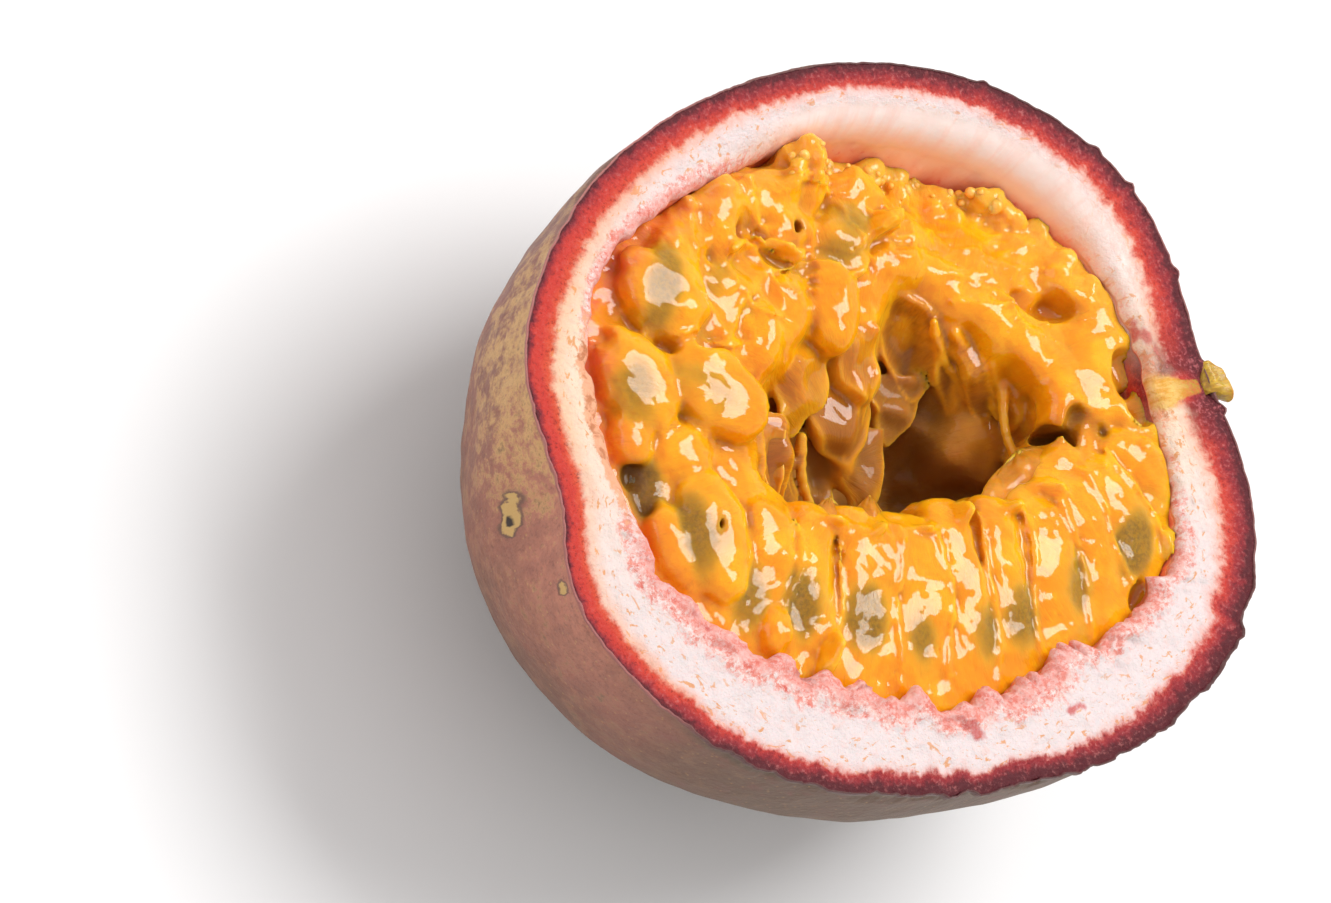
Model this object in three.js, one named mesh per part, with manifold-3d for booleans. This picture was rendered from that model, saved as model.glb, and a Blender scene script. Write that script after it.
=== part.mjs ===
// Half of a passion fruit, cut lengthwise through the stem and the blossom end, lying on its
// rounded skin with the cut face up.
//
// Three solids: the shell (skin, red rind and white pith, which are one tissue), the pulp (the
// ring of seed sacs that lines the shell round an open hollow) and the stump of the stem, which
// was cut in half with the fruit.
//
// Millimetres. +Z is up, out of the cut face. +X points to the stem end and +Y across the fruit.
// The origin is the middle of the small flat spot that the fruit lies on.

import * as THREE from "three";
import { mergeVertices } from "three/addons/utils/BufferGeometryUtils.js";
import Module from "manifold-3d";

const wasm = await Module();
wasm.setup();

// ---- Driving dimensions -------------------------------------------------------------------

const DEPTH = 28.5; // from the cut face down to the pole of the round skin
const FLAT_CUT = 0.3; // how much of the pole the flat spot takes away
const SECTION_POWER = 2.05; // 2 is an elliptical section, more is squarer
const FLOOR_WALL = 5.5; // thickness of the peel at the pole
const CUT_SWELL = 0.12; // how far the pith stands proud once it is cut
const GAP = 0.3; // clearance kept between the solids

const CUT_Z = DEPTH - FLAT_CUT; // height of the cut face
const CAVITY_DEPTH = DEPTH - FLOOR_WALL;

// Outlines in the cut face, as a mean radius and its waves: waves[k - 1] is the cosine and sine
// part of the wave that goes k times round.
const RIM = {
  mean: 29.84,
  waves: [[0.66, 0.39], [3.01, 0.57], [-0.27, -0.27], [-0.12, 0.13]],
};
const CAVITY = {
  mean: 23.3,
  waves: [[0.55, 1.73], [2.11, 0.14], [-0.53, 0.25], [-0.38, -0.36], [-0.2, -0.13], [-0.49, 0.13]],
};

// Dimples at the two ends: how deep, how wide in radians round the rim, how far down the side.
const DIMPLES = [
  { name: "stem", angle: 0.07, depth: 3.5, width: 0.31, reach: 8 },
  { name: "blossom", angle: Math.PI + 0.025, depth: 2.3, width: 0.23, reach: 6 },
];

// The flank on the -Y side is a little fuller below the cut than at it.
const FLANK = { angle: -1.5, swell: 0.9, width: 0.75, depth: 9, reach: 7 };

// The pulp: how far its edge lies below the cut face, and the mouth and floor of its hollow.
// It has sunk away from the wall on one side, and the tops and the mouth follow it by a share.
const EDGE_DROP = { least: 0.5, sunk: 5.2, angle: 1.0, width: 0.73 };
const MOUTH = { x: 2.5, y: 2.0, halfLength: 13.5, halfWidth: 8.2, drop: 1.6, follow: 0.35 };
const FLOOR = { x: 6.0, y: -1.5, depth: 15 };
const CREST = { drop: 0.1, follow: 0.5 }; // the sacs' tops, midway between edge and mouth
const SACS = { round: 28, height: 1.1, uneven: 0.5, seed: 11 };
const WIDE_SACS = { angle: Math.PI, extra: 0.7, spread: 0.8 }; // the blossom end has the big ones
const SAC_WIDTH_UNEVEN = 0.15;
const SAC_ROUNDING = 0.85; // share of a half wave that the sacs' ridges take from edge to mouth
const HOLLOW_SACS = { rows: 3, bulge: 0.5, ridge: 0.6 }; // the rows of sacs down the hollow's wall

// The stem stump: a peg along X with a swollen end, half of it above the cut and gone.
const STEM = { y: 0.1, inner: 24.6, outer: 31.2, neck: 0.95, core: 1.35, head: 1.65, sides: 20 };

const NEAR_POLE = 0.985; // share of the full depth at which the rings end in a point
const SHELL_SIDES = 72;
const SPOKES_PER_SAC = 4;
const OUTER_RINGS = 13;
const INNER_RINGS = 10;
const UNDER_RINGS = 8;
const TOP_RINGS = 6;
const HOLLOW_RINGS = 7;

// ---- Shape functions ----------------------------------------------------------------------

const TURN = 2 * Math.PI;

function outlineRadius(outline, angle) {
  return outline.waves.reduce(
    (sum, [c, s], i) => sum + c * Math.cos((i + 1) * angle) + s * Math.sin((i + 1) * angle),
    outline.mean,
  );
}

// A bell of height 1 round the given angle.
function bell(angle, centre, width) {
  const away = THREE.MathUtils.euclideanModulo(angle - centre + Math.PI, TURN) - Math.PI;
  return Math.exp(-((away / width) ** 2));
}

// How wide the section is at a depth below the cut face, as a share of its width at the face.
function sectionScale(depth, fullDepth) {
  return Math.max(0, 1 - (depth / fullDepth) ** SECTION_POWER) ** (1 / SECTION_POWER);
}

function skinRadius(angle, depth) {
  const dents = DIMPLES.reduce(
    (sum, d) => sum + d.depth * bell(angle, d.angle, d.width) * Math.exp(-((depth / d.reach) ** 2)),
    0,
  );
  const along = Math.exp(-(((depth - FLANK.depth) / FLANK.reach) ** 2));
  const rise = Math.min(1, depth / FLANK.depth);
  const swell = FLANK.swell * bell(angle, FLANK.angle, FLANK.width) * along * rise;
  return (outlineRadius(RIM, angle) - dents) * sectionScale(depth, DEPTH) + swell;
}

function cavityRadius(angle, depth, clearance) {
  const radius = outlineRadius(CAVITY, angle) - clearance;
  return radius * sectionScale(depth, CAVITY_DEPTH - clearance);
}

function polar(angle, radius, z) {
  return new THREE.Vector3(radius * Math.cos(angle), radius * Math.sin(angle), z);
}

function ringOf(sides, pointAt) {
  return Array.from({ length: sides }, (_, i) => pointAt((i * TURN) / sides));
}

// Depths from near the pole up to the given least depth, spaced evenly along a round section.
function depthsUp(from, to, fullDepth, count) {
  const turnOf = (depth) => Math.asin(Math.min(1, (depth / fullDepth) ** (SECTION_POWER / 2)));
  const [a, b] = [turnOf(from), turnOf(to)];
  return Array.from({ length: count }, (_, i) => {
    const turn = a + ((b - a) * i) / (count - 1);
    return fullDepth * Math.sin(turn) ** (2 / SECTION_POWER);
  });
}

// A closed surface from rings of equal length, capped by a fan at each end.
function loft(rings, firstCentre, lastCentre) {
  const sides = rings[0].length;
  const points = [firstCentre, ...rings.flat(), lastCentre];
  const last = points.length - 1;
  const at = (ring, i) => 1 + ring * sides + (i % sides);
  const faces = [];
  for (let i = 0; i < sides; i++) {
    faces.push(0, at(0, i + 1), at(0, i));
    faces.push(last, at(rings.length - 1, i), at(rings.length - 1, i + 1));
    for (let ring = 0; ring + 1 < rings.length; ring++) {
      const [a, b] = [at(ring, i), at(ring, i + 1)];
      const [c, d] = [at(ring + 1, i), at(ring + 1, i + 1)];
      faces.push(a, b, d, a, d, c);
    }
  }
  return new THREE.BufferGeometry().setFromPoints(points).setIndex(faces);
}

// Uneven numbers from -1 to 1, the same on every run.
function unevenness(seed) {
  let state = seed;
  return () => {
    state = (state * 1103515245 + 12345) % 2147483648;
    return (2 * state) / 2147483648 - 1;
  };
}

// ---- Solids and cuts ----------------------------------------------------------------------

function solidOf(geometry) {
  const bare = geometry.clone();
  bare.deleteAttribute("normal");
  bare.deleteAttribute("uv");
  const merged = mergeVertices(bare, 1e-4);
  return new wasm.Manifold(
    new wasm.Mesh({
      numProp: 3,
      vertProperties: merged.attributes.position.array,
      triVerts: new Uint32Array(merged.index.array),
    }),
  );
}

function geometryOf(solid) {
  const { vertProperties, triVerts } = solid.getMesh();
  const geometry = new THREE.BufferGeometry();
  geometry.setAttribute("position", new THREE.BufferAttribute(vertProperties, 3));
  geometry.setIndex(new THREE.BufferAttribute(triVerts, 1));
  return geometry;
}

// ---- Shell --------------------------------------------------------------------------------

function shellGeometry() {
  const skin = depthsUp(CUT_Z, 0, DEPTH, OUTER_RINGS).map((depth) =>
    ringOf(SHELL_SIDES, (angle) => polar(angle, skinRadius(angle, depth), CUT_Z - depth)),
  );
  const cutFace = [0.3, 0.7].map((share) =>
    ringOf(SHELL_SIDES, (angle) => {
      const [outer, inner] = [skinRadius(angle, 0), cavityRadius(angle, 0, 0)];
      const swell = CUT_SWELL * Math.sin(Math.PI * share);
      return polar(angle, THREE.MathUtils.lerp(outer, inner, share), CUT_Z + swell);
    }),
  );
  const deepest = CAVITY_DEPTH * NEAR_POLE;
  const wall = depthsUp(deepest, 0, CAVITY_DEPTH, INNER_RINGS).reverse().map((depth) =>
    ringOf(SHELL_SIDES, (angle) => polar(angle, cavityRadius(angle, depth, 0), CUT_Z - depth)),
  );
  const below = new THREE.Vector3(0, 0, 0);
  const inside = new THREE.Vector3(0, 0, CUT_Z - CAVITY_DEPTH);
  return loft([...skin, ...cutFace, ...wall], below, inside);
}

// ---- Pulp ---------------------------------------------------------------------------------

function edgeDrop(angle) {
  return EDGE_DROP.least + EDGE_DROP.sunk * bell(angle, EDGE_DROP.angle, EDGE_DROP.width);
}

function mouthPoint(angle) {
  const x = MOUTH.x + MOUTH.halfLength * Math.cos(angle);
  const y = MOUTH.y + MOUTH.halfWidth * Math.sin(angle);
  return new THREE.Vector3(x, y, CUT_Z - MOUTH.drop - MOUTH.follow * edgeDrop(angle));
}

// The sacs stand side by side round the fruit as rounded ridges, each of its own width and
// height. A spoke is a direction out from the middle, with how far the ridge sinks there below
// the mean height of the ridges.
function pulpSpokes() {
  const uneven = unevenness(SACS.seed);
  const sacs = Array.from({ length: SACS.round }, (_, i) => {
    const angle = ((i + 0.5) * TURN) / SACS.round;
    const wider = WIDE_SACS.extra * bell(angle, WIDE_SACS.angle, WIDE_SACS.spread);
    const width = 1 + wider + SAC_WIDTH_UNEVEN * uneven();
    return { width, height: 1 + SACS.uneven * uneven() };
  });
  const round = sacs.reduce((sum, sac) => sum + sac.width, 0);
  const spokes = [];
  let start = 0;
  for (const sac of sacs) {
    for (let i = 0; i < SPOKES_PER_SAC; i++) {
      const across = i / SPOKES_PER_SAC;
      const ridge = SACS.height * sac.height * Math.sqrt(Math.sin(Math.PI * across));
      spokes.push({ angle: (TURN * (start + across * sac.width)) / round, ridge: ridge - SACS.height });
    }
    start += sac.width;
  }
  return spokes;
}

function pulpGeometry() {
  const spokes = pulpSpokes();
  const fullDepth = CAVITY_DEPTH - GAP;
  const wallPoint = (angle, depth) =>
    polar(angle, cavityRadius(angle, depth, GAP), CUT_Z - depth);

  const under = Array.from({ length: UNDER_RINGS }, (_, ring) =>
    spokes.map(({ angle }) => {
      const deepest = fullDepth * NEAR_POLE;
      const depths = depthsUp(deepest, edgeDrop(angle), fullDepth, UNDER_RINGS);
      return wallPoint(angle, depths[ring]);
    }),
  );

  const top = Array.from({ length: TOP_RINGS }, (_, i) => {
    const share = (i + 1) / TOP_RINGS;
    const rise = Math.sin(Math.PI * share);
    const ridgeShare = Math.sin(SAC_ROUNDING * Math.PI * share);
    return spokes.map(({ angle, ridge }) => {
      const edge = wallPoint(angle, edgeDrop(angle));
      const mouth = mouthPoint(angle);
      const crestZ = CUT_Z - CREST.drop - CREST.follow * edgeDrop(angle);
      const point = edge.clone().lerp(mouth, share);
      point.z += (crestZ - (edge.z + mouth.z) / 2) * rise + ridge * ridgeShare;
      return point;
    });
  });

  const floor = new THREE.Vector3(FLOOR.x, FLOOR.y, CUT_Z - FLOOR.depth);
  const hollow = Array.from({ length: HOLLOW_RINGS }, (_, i) => {
    const share = (i + 1) / (HOLLOW_RINGS + 1);
    const inward = 1 - Math.cos((share * Math.PI) / 2);
    const down = Math.sin((share * Math.PI) / 2) ** 0.8;
    const row = Math.sin(HOLLOW_SACS.rows * Math.PI * share) ** 2;
    return spokes.map(({ angle, ridge }) => {
      const mouth = mouthPoint(angle);
      const point = mouth.clone().lerp(floor, inward);
      point.z = THREE.MathUtils.lerp(mouth.z, floor.z, down);
      point.z += (HOLLOW_SACS.ridge * ridge + HOLLOW_SACS.bulge * row) * (1 - share);
      return point;
    });
  });

  const bottom = new THREE.Vector3(0, 0, CUT_Z - CAVITY_DEPTH + GAP);
  return loft([...under, ...top, ...hollow], bottom, floor);
}

// ---- Stem stump ---------------------------------------------------------------------------

// The whole round peg, with its axis along X, grown by the given clearance.
function stemPeg(clearance) {
  const length = STEM.outer - STEM.inner;
  const shape = [
    [0, -clearance],
    [STEM.neck + clearance, -clearance],
    [STEM.core + clearance, 0.25 * length],
    [STEM.neck + clearance, 0.62 * length],
    [STEM.head + clearance, 0.82 * length],
    [0.8 * STEM.head + clearance, 0.97 * length + clearance],
    [0, length + clearance],
  ];
  const profile = shape.map(([radius, along]) => new THREE.Vector2(radius, along));
  const peg = new THREE.LatheGeometry(profile, STEM.sides);
  peg.rotateZ(-Math.PI / 2);
  peg.translate(STEM.inner, STEM.y, CUT_Z);
  return solidOf(peg);
}

function belowTheCut() {
  const size = 100;
  const block = new THREE.BoxGeometry(size, size, size);
  block.translate(0, 0, CUT_Z - size / 2);
  return solidOf(block);
}

// ---- The fruit ----------------------------------------------------------------------------

function part(name, geometry, color, roughness) {
  geometry.computeVertexNormals();
  const material = new THREE.MeshStandardMaterial({ color, roughness, metalness: 0 });
  const mesh = new THREE.Mesh(geometry, material);
  mesh.name = name;
  return mesh;
}

const stem = stemPeg(0).intersect(belowTheCut());
const shell = solidOf(shellGeometry()).subtract(stemPeg(GAP));

const fruit = new THREE.Group();
fruit.add(part("shell", geometryOf(shell), 0x96584f, 0.55));
fruit.add(part("pulp", pulpGeometry(), 0xf2a012, 0.15));
fruit.add(part("stem_stub", geometryOf(stem), 0xb08a24, 0.7));

export default fruit;
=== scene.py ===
import math

import bpy
import numpy as np
from bpy.props import FloatProperty, FloatVectorProperty, IntProperty, PointerProperty
from mathutils import Euler, Matrix, Vector


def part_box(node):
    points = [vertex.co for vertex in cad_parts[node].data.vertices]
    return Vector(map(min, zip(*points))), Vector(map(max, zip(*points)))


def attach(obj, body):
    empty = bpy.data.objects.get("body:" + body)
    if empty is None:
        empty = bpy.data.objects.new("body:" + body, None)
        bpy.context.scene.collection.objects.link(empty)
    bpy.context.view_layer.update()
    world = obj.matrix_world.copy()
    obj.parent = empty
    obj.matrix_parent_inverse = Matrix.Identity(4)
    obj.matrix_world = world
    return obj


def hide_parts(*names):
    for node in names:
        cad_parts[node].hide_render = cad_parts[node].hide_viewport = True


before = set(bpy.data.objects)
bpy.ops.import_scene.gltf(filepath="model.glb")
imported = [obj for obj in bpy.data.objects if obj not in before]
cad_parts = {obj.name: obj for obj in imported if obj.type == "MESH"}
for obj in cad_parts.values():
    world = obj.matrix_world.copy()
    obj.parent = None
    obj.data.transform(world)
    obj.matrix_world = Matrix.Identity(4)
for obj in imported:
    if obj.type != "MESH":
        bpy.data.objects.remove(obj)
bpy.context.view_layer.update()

# Half of a passion fruit, cut through the stem and the blossom end, lying on its skin.
# Lengths in this file are millimetres, in the part's own frame: +Z out of the cut face, +X to
# the stem end, the origin in the flat spot that the fruit lies on. Meshes are written in metres.

bl_info = {
    "name": "Passion fruit half",
    "version": (1, 0, 0),
    "blender": (4, 5, 0),
    "location": "3D View > Sidebar > Passion fruit",
    "description": "Builds half of a passion fruit: peel, pulp, seeds, membranes and stem stump",
    "category": "Add Mesh",
}

MM = 0.001
TURN = 2 * math.pi
CUT_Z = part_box("stem_stub")[1].z / MM

# ---- The fruit's outlines ----

# In the cut face: a mean radius and its waves, waves[k - 1] going k times round.
RIM = (29.84, [(0.66, 0.39), (3.01, 0.57), (-0.27, -0.27), (-0.12, 0.13)])
CAVITY = (
    23.3,
    [(0.55, 1.73), (2.11, 0.14), (-0.53, 0.25), (-0.38, -0.36), (-0.2, -0.13), (-0.49, 0.13)],
)
RIND = (2.15, [(0.5, 0.14), (0.42, -0.07), (0.16, 0.04)])  # thickness of the red layer

# The dimples at the stem and the blossom end: angle, depth, width in radians, reach down.
STEM_DIMPLE = (0.07, 3.5, 0.31, 8.0)
BLOSSOM_DIMPLE = (math.pi + 0.025, 2.3, 0.23, 6.0)
SHOULDER = (3.37, -0.7, 0.13, 6.0)  # beside the blossom end the outline swells instead
FLANK = (-1.5, 0.9, 0.75, 9.0, 7.0)  # angle, swell, width, depth, reach
SECTION_POWER = 2.05


def waves(outline, angle):
    """The radius of an outline at some angles."""
    mean, pairs = outline
    radius = np.full_like(angle, mean)
    for k, (c, s) in enumerate(pairs, start=1):
        radius += c * np.cos(k * angle) + s * np.sin(k * angle)
    return radius


def hump(value, width, power=2):
    """1 at zero, falling off over a width. A higher power squares its shoulders."""
    return np.exp(-((np.abs(value) / width) ** power))


def bell(angle, centre, width):
    """1 at an angle, falling off over a width in radians."""
    away = (angle - centre + math.pi) % TURN - math.pi
    return hump(away, width)


def section(depth, full_depth):
    """How wide the round section is at a depth, as a share of its width at the cut face."""
    share = np.clip(depth / full_depth, 0, 1)
    return (1 - share**SECTION_POWER) ** (1 / SECTION_POWER)


def skin_radius(angle, depth, pole_depth):
    """The outline of the skin at a depth below the cut, with its dimples and its full flank."""
    radius = waves(RIM, angle)
    for centre, dent, width, reach in (STEM_DIMPLE, BLOSSOM_DIMPLE, SHOULDER):
        radius = radius - dent * bell(angle, centre, width) * hump(depth, reach)
    centre, swell, width, at, reach = FLANK
    rise = np.clip(depth / at, 0, 1) * hump(depth - at, reach)
    return radius * section(depth, pole_depth) + swell * bell(angle, centre, width) * rise


def ease(low, high, value):
    """A smooth step from 0 at low to 1 at high."""
    t = np.clip((value - low) / (high - low), 0, 1)
    return t * t * (3 - 2 * t)


def plateau(value, rise, full, fall, end):
    """1 from full to fall, with smooth flanks from rise and to end."""
    return ease(rise, full, value) * (1 - ease(fall, end, value))


def size_of(vectors):
    return np.linalg.norm(vectors, axis=-1)


def polar(points):
    """Angle and distance from the middle, seen from above."""
    x, y = points[..., 0], points[..., 1]
    return np.arctan2(y, x) % TURN, np.hypot(x, y)


def ripples(points, size, seed, sharp=1.0):
    """Smooth unevenness from about -1 to 1 whose features are about size across."""
    rng = np.random.default_rng(seed)
    total = np.zeros(len(points))
    count = 18
    for _ in range(count):
        direction = rng.normal(size=3)
        direction /= np.linalg.norm(direction)
        frequency = TURN / size * rng.uniform(0.55, 1.6)
        total += np.sin(points @ direction * frequency + rng.uniform(0, TURN))
    total *= 1.4 / math.sqrt(count)
    return np.sign(total) * np.abs(total) ** sharp


# ---- Settings ----


def number(name, description, default, low=0.0):
    return FloatProperty(name=name, description=description, default=default, min=low)


def colour(name, description, default):
    return FloatVectorProperty(
        name=name, description=description, subtype="COLOR", size=3, min=0, max=1, default=default
    )


class FruitSizes(bpy.types.PropertyGroup):
    """Sizes of the peel and the pulp, in millimetres."""

    pole_depth: number("Pole depth", "From the cut face to the pole of the skin", 28.5, 5)
    wall: number("Peel at the pole", "Thickness of the peel at the pole", 5.5, 1)
    teeth: number("Torn pith", "How strongly the torn pith reaches over the pulp", 0.72)
    hollow_depth: number("Hollow depth", "Depth of the hollow in the pulp", 15.5, 1)
    grain: number("Pulp mesh step", "Step of the grid that the pulp is made on", 0.25, 0.1)
    seed_length: number("Seed length", "Length of one seed", 5.2, 1)
    seed_width: number("Seed width", "Width of one seed", 3.3, 1)
    seed_thickness: number("Seed thickness", "Thickness of one seed", 1.7, 0.5)
    bead_size: number("Bead size", "Mean radius of the small juice beads", 0.36, 0.1)
    beads: IntProperty(name="Beads", description="Small juice beads along the sunk edge", default=50)
    vesicles: IntProperty(name="Vesicles", description="Large juice bubbles there", default=75)


class FruitColours(bpy.types.PropertyGroup):
    """Base colours, as linear values."""

    skin: colour("Skin", "Dull purple-brown of the skin", (0.27, 0.105, 0.08))
    skin_tan: colour("Skin, tan", "Golden tan mottling", (0.62, 0.37, 0.15))
    # Skin, dark is both a dark mottling of the skin and its painted shade.
    skin_dark: colour("Skin, dark", "Greyish brown of the lower skin", (0.14, 0.09, 0.056))
    skin_pink: colour("Skin, pink", "Mauve pink close to the cut", (0.52, 0.205, 0.14))
    rind_dark: colour("Rind, dark", "Maroon under the skin", (0.105, 0.012, 0.018))
    rind_bright: colour("Rind, bright", "Bright red next to the pith", (0.62, 0.045, 0.03))
    pith: colour("Pith", "White of the pith", (0.82, 0.70, 0.69))
    pith_warm: colour("Pith, warm", "Cream of the pith at both ends", (0.93, 0.70, 0.50))
    pink: colour("Pink pith", "Pink of the spongy inner pith", (0.86, 0.30, 0.24))
    wall: colour("Inner wall", "Peach of the bare inner wall", (0.94, 0.62, 0.48))
    flush: colour("Flush", "Coral red close to the pulp", (0.82, 0.17, 0.08))
    juice: colour("Juice", "Orange yellow of the sacs", (0.84, 0.29, 0.003))
    # Juice, light and Juice, deep are also painted light on the crests and painted shade in the creases.
    juice_light: colour("Juice, light", "Brighter yellow on thick sacs", (0.93, 0.39, 0.005))
    juice_deep: colour("Juice, deep", "Orange brown in the creases", (0.60, 0.185, 0.006))
    seed: colour("Seed", "Dark olive brown of the seeds", (0.19, 0.115, 0.018))
    veil: colour("Veil", "Olive of a seed seen through its sac", (0.43, 0.215, 0.014))
    # Hollow is the colour of the painted shade deep in the hollow.
    hollow: colour("Hollow", "Dark brown deep in the hollow", (0.36, 0.15, 0.035))
    # Amber, the folds' colour, is darker than the membranes' own amber: partly painted shade.
    amber: colour("Amber", "Amber brown of the folds in the hollow", (0.42, 0.135, 0.010))
    membrane: colour("Membrane", "Amber of the thin membranes", (0.70, 0.25, 0.012))
    stem: colour("Stem", "Yellow olive of the stem", (0.44, 0.24, 0.008))
    floor: colour("Floor", "Pale floor", (0.86, 0.85, 0.85))


class StudioSettings(bpy.types.PropertyGroup):
    """Camera and lights."""

    azimuth: number("Azimuth", "Direction of the camera in degrees", 196.82)
    elevation: number("Elevation", "Height of the camera in degrees", 51.18)
    roll: number("Roll", "Turn of the picture in degrees", 60.36)
    lens: number("Lens", "Focal length on a 36 mm sensor", 161.13, 1)
    key: number("Key light", "Watts of the key light", 2.75)
    fill: number("Fill light", "Watts of the fill light", 0.6)
    sky: number("Surroundings", "Strength of the white room", 0.7)


def settings():
    scene = bpy.context.scene
    return scene.fruit_sizes, scene.fruit_colours, scene.fruit_studio


# ---- Mesh helpers ----


def mesh_piece(name, points, faces, material, attributes=None):
    """A smooth mesh object from points in millimetres and a list of face arrays."""
    mesh = bpy.data.meshes.new(name)
    quads = [np.asarray(f, np.int32) for f in faces]
    loops = np.concatenate([f.ravel() for f in quads])
    sizes = np.concatenate([np.full(len(f), f.shape[1], np.int32) for f in quads])
    mesh.vertices.add(len(points))
    mesh.vertices.foreach_set("co", (np.asarray(points) * MM).astype(np.float32).ravel())
    mesh.loops.add(len(loops))
    mesh.loops.foreach_set("vertex_index", loops)
    mesh.polygons.add(len(sizes))
    starts = np.concatenate([[0], np.cumsum(sizes)[:-1]]).astype(np.int32)
    mesh.polygons.foreach_set("loop_start", starts)
    mesh.polygons.foreach_set("use_smooth", np.ones(len(sizes), bool))
    for key, values in (attributes or {}).items():
        values = np.asarray(values, np.float32)
        kind, field = ("FLOAT", "value") if values.ndim == 1 else ("FLOAT_VECTOR", "vector")
        mesh.attributes.new(key, kind, "POINT").data.foreach_set(field, values.ravel())
    mesh.update(calc_edges=True)
    mesh.validate()
    mesh.materials.append(material)
    piece = bpy.data.objects.new(name, mesh)
    bpy.context.scene.collection.objects.link(piece)
    return piece


def grid_quads(rows, columns):
    """Quads between rows of points, which face up where rows go along +X and stack along +Y."""
    row, column = np.meshgrid(np.arange(rows - 1), np.arange(columns - 1), indexing="ij")
    a = (row * columns + column).ravel()
    return np.stack([a, a + 1, a + columns + 1, a + columns], 1)


def ring_faces(rings, around, first, last):
    """Faces of stacked closed rings with a fan at each end, pointing outwards."""
    ring, i = np.meshgrid(np.arange(rings - 1), np.arange(around), indexing="ij")
    j = (i + 1) % around
    a, b = ring * around + i, ring * around + j
    quads = np.stack([a, b, b + around, a + around], -1).reshape(-1, 4)
    i = np.arange(around)
    j = (i + 1) % around
    top = (rings - 1) * around
    fans = [
        np.stack([np.full(around, first), j, i], -1),
        np.stack([np.full(around, last), top + i, top + j], -1),
    ]
    return [quads, np.concatenate(fans)]


def finished(piece, node):
    """Ties a finished piece to the frame."""
    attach(piece, "root")
    if node:
        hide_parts(node)
    return piece


def baked(piece):
    """Turns a piece's modifiers into plain mesh."""
    graph = bpy.context.evaluated_depsgraph_get()
    mesh = bpy.data.meshes.new_from_object(piece.evaluated_get(graph))
    piece.modifiers.clear()
    old = piece.data
    piece.data = mesh
    bpy.data.meshes.remove(old)
    return piece


def thinned(piece, where, share):
    """Takes faces away where they can't be seen, until a share of all of them is left."""
    group = piece.vertex_groups.new(name="thinned")
    group.add(np.nonzero(where)[0].tolist(), 1.0, "REPLACE")
    modifier = piece.modifiers.new("Thin", "DECIMATE")
    modifier.ratio = share
    modifier.vertex_group = group.name
    baked(piece)
    piece.vertex_groups.clear()
    return piece


def grown(name, points, attributes, tree, values):
    """A piece that a Geometry Nodes tree grows from loose points, as plain mesh."""
    mesh = bpy.data.meshes.new(name)
    mesh.from_pydata([tuple(p) for p in np.asarray(points) * MM], [], [])
    for key, data in attributes.items():
        layer = mesh.attributes.new(key, "FLOAT_VECTOR", "POINT")
        layer.data.foreach_set("vector", np.asarray(data, np.float32).ravel())
    piece = bpy.data.objects.new(name, mesh)
    bpy.context.scene.collection.objects.link(piece)
    modifier = piece.modifiers.new("Grow", "NODES")
    modifier.node_group = tree
    for item in tree.interface.items_tree:
        if item.item_type == "SOCKET" and item.in_out == "INPUT" and item.name in values:
            modifier[item.identifier] = values[item.name]
    return baked(piece)


def open_sockets(tree, inputs, outputs):
    """Sockets of a node group: inputs as (name, kind, default), outputs as (name, kind)."""
    for socket, kind, default in inputs:
        item = tree.interface.new_socket(socket, in_out="INPUT", socket_type=kind)
        if default is not None:
            item.default_value = default
    for socket, kind in outputs:
        tree.interface.new_socket(socket, in_out="OUTPUT", socket_type=kind)


class Nodes:
    """A node tree with a short way to make each kind of value."""

    def __init__(self, tree):
        self.tree = tree

    def put(self, value, socket):
        if isinstance(value, bpy.types.NodeSocket):
            self.tree.links.new(value, socket)
        elif socket.type == "RGBA" and len(value) == 3:
            socket.default_value = (*value, 1)
        else:
            socket.default_value = value

    def add(self, kind, values=None, **props):
        node = self.tree.nodes.new(kind)
        for key, value in props.items():
            setattr(node, key, value)
        for key, value in (values or {}).items():
            self.put(value, node.inputs[key])
        return node


    def math(self, operation, a, b=0.0, c=0.0, clamp=False):
        node = self.add("ShaderNodeMath", {0: a, 1: b, 2: c}, operation=operation)
        node.use_clamp = clamp
        return node.outputs[0]

    def times(self, a, b):
        return self.math("MULTIPLY", a, b)

    def plus(self, a, b):
        return self.math("ADD", a, b)

    def vector(self, operation, a, b=(0, 0, 0)):
        return self.add("ShaderNodeVectorMath", {0: a, 1: b}, operation=operation).outputs[0]

    def scaled(self, vector, scale):
        values = {0: vector, "Scale": scale}
        return self.add("ShaderNodeVectorMath", values, operation="SCALE").outputs[0]

    def split(self, vector):
        return self.add("ShaderNodeSeparateXYZ", {0: vector}).outputs

    def joined(self, x, y, z):
        return self.add("ShaderNodeCombineXYZ", {0: x, 1: y, 2: z}).outputs[0]

    def cells(self, at, scale):
        return self.add("ShaderNodeTexVoronoi", {"Vector": at, "Scale": scale}).outputs["Distance"]


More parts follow.
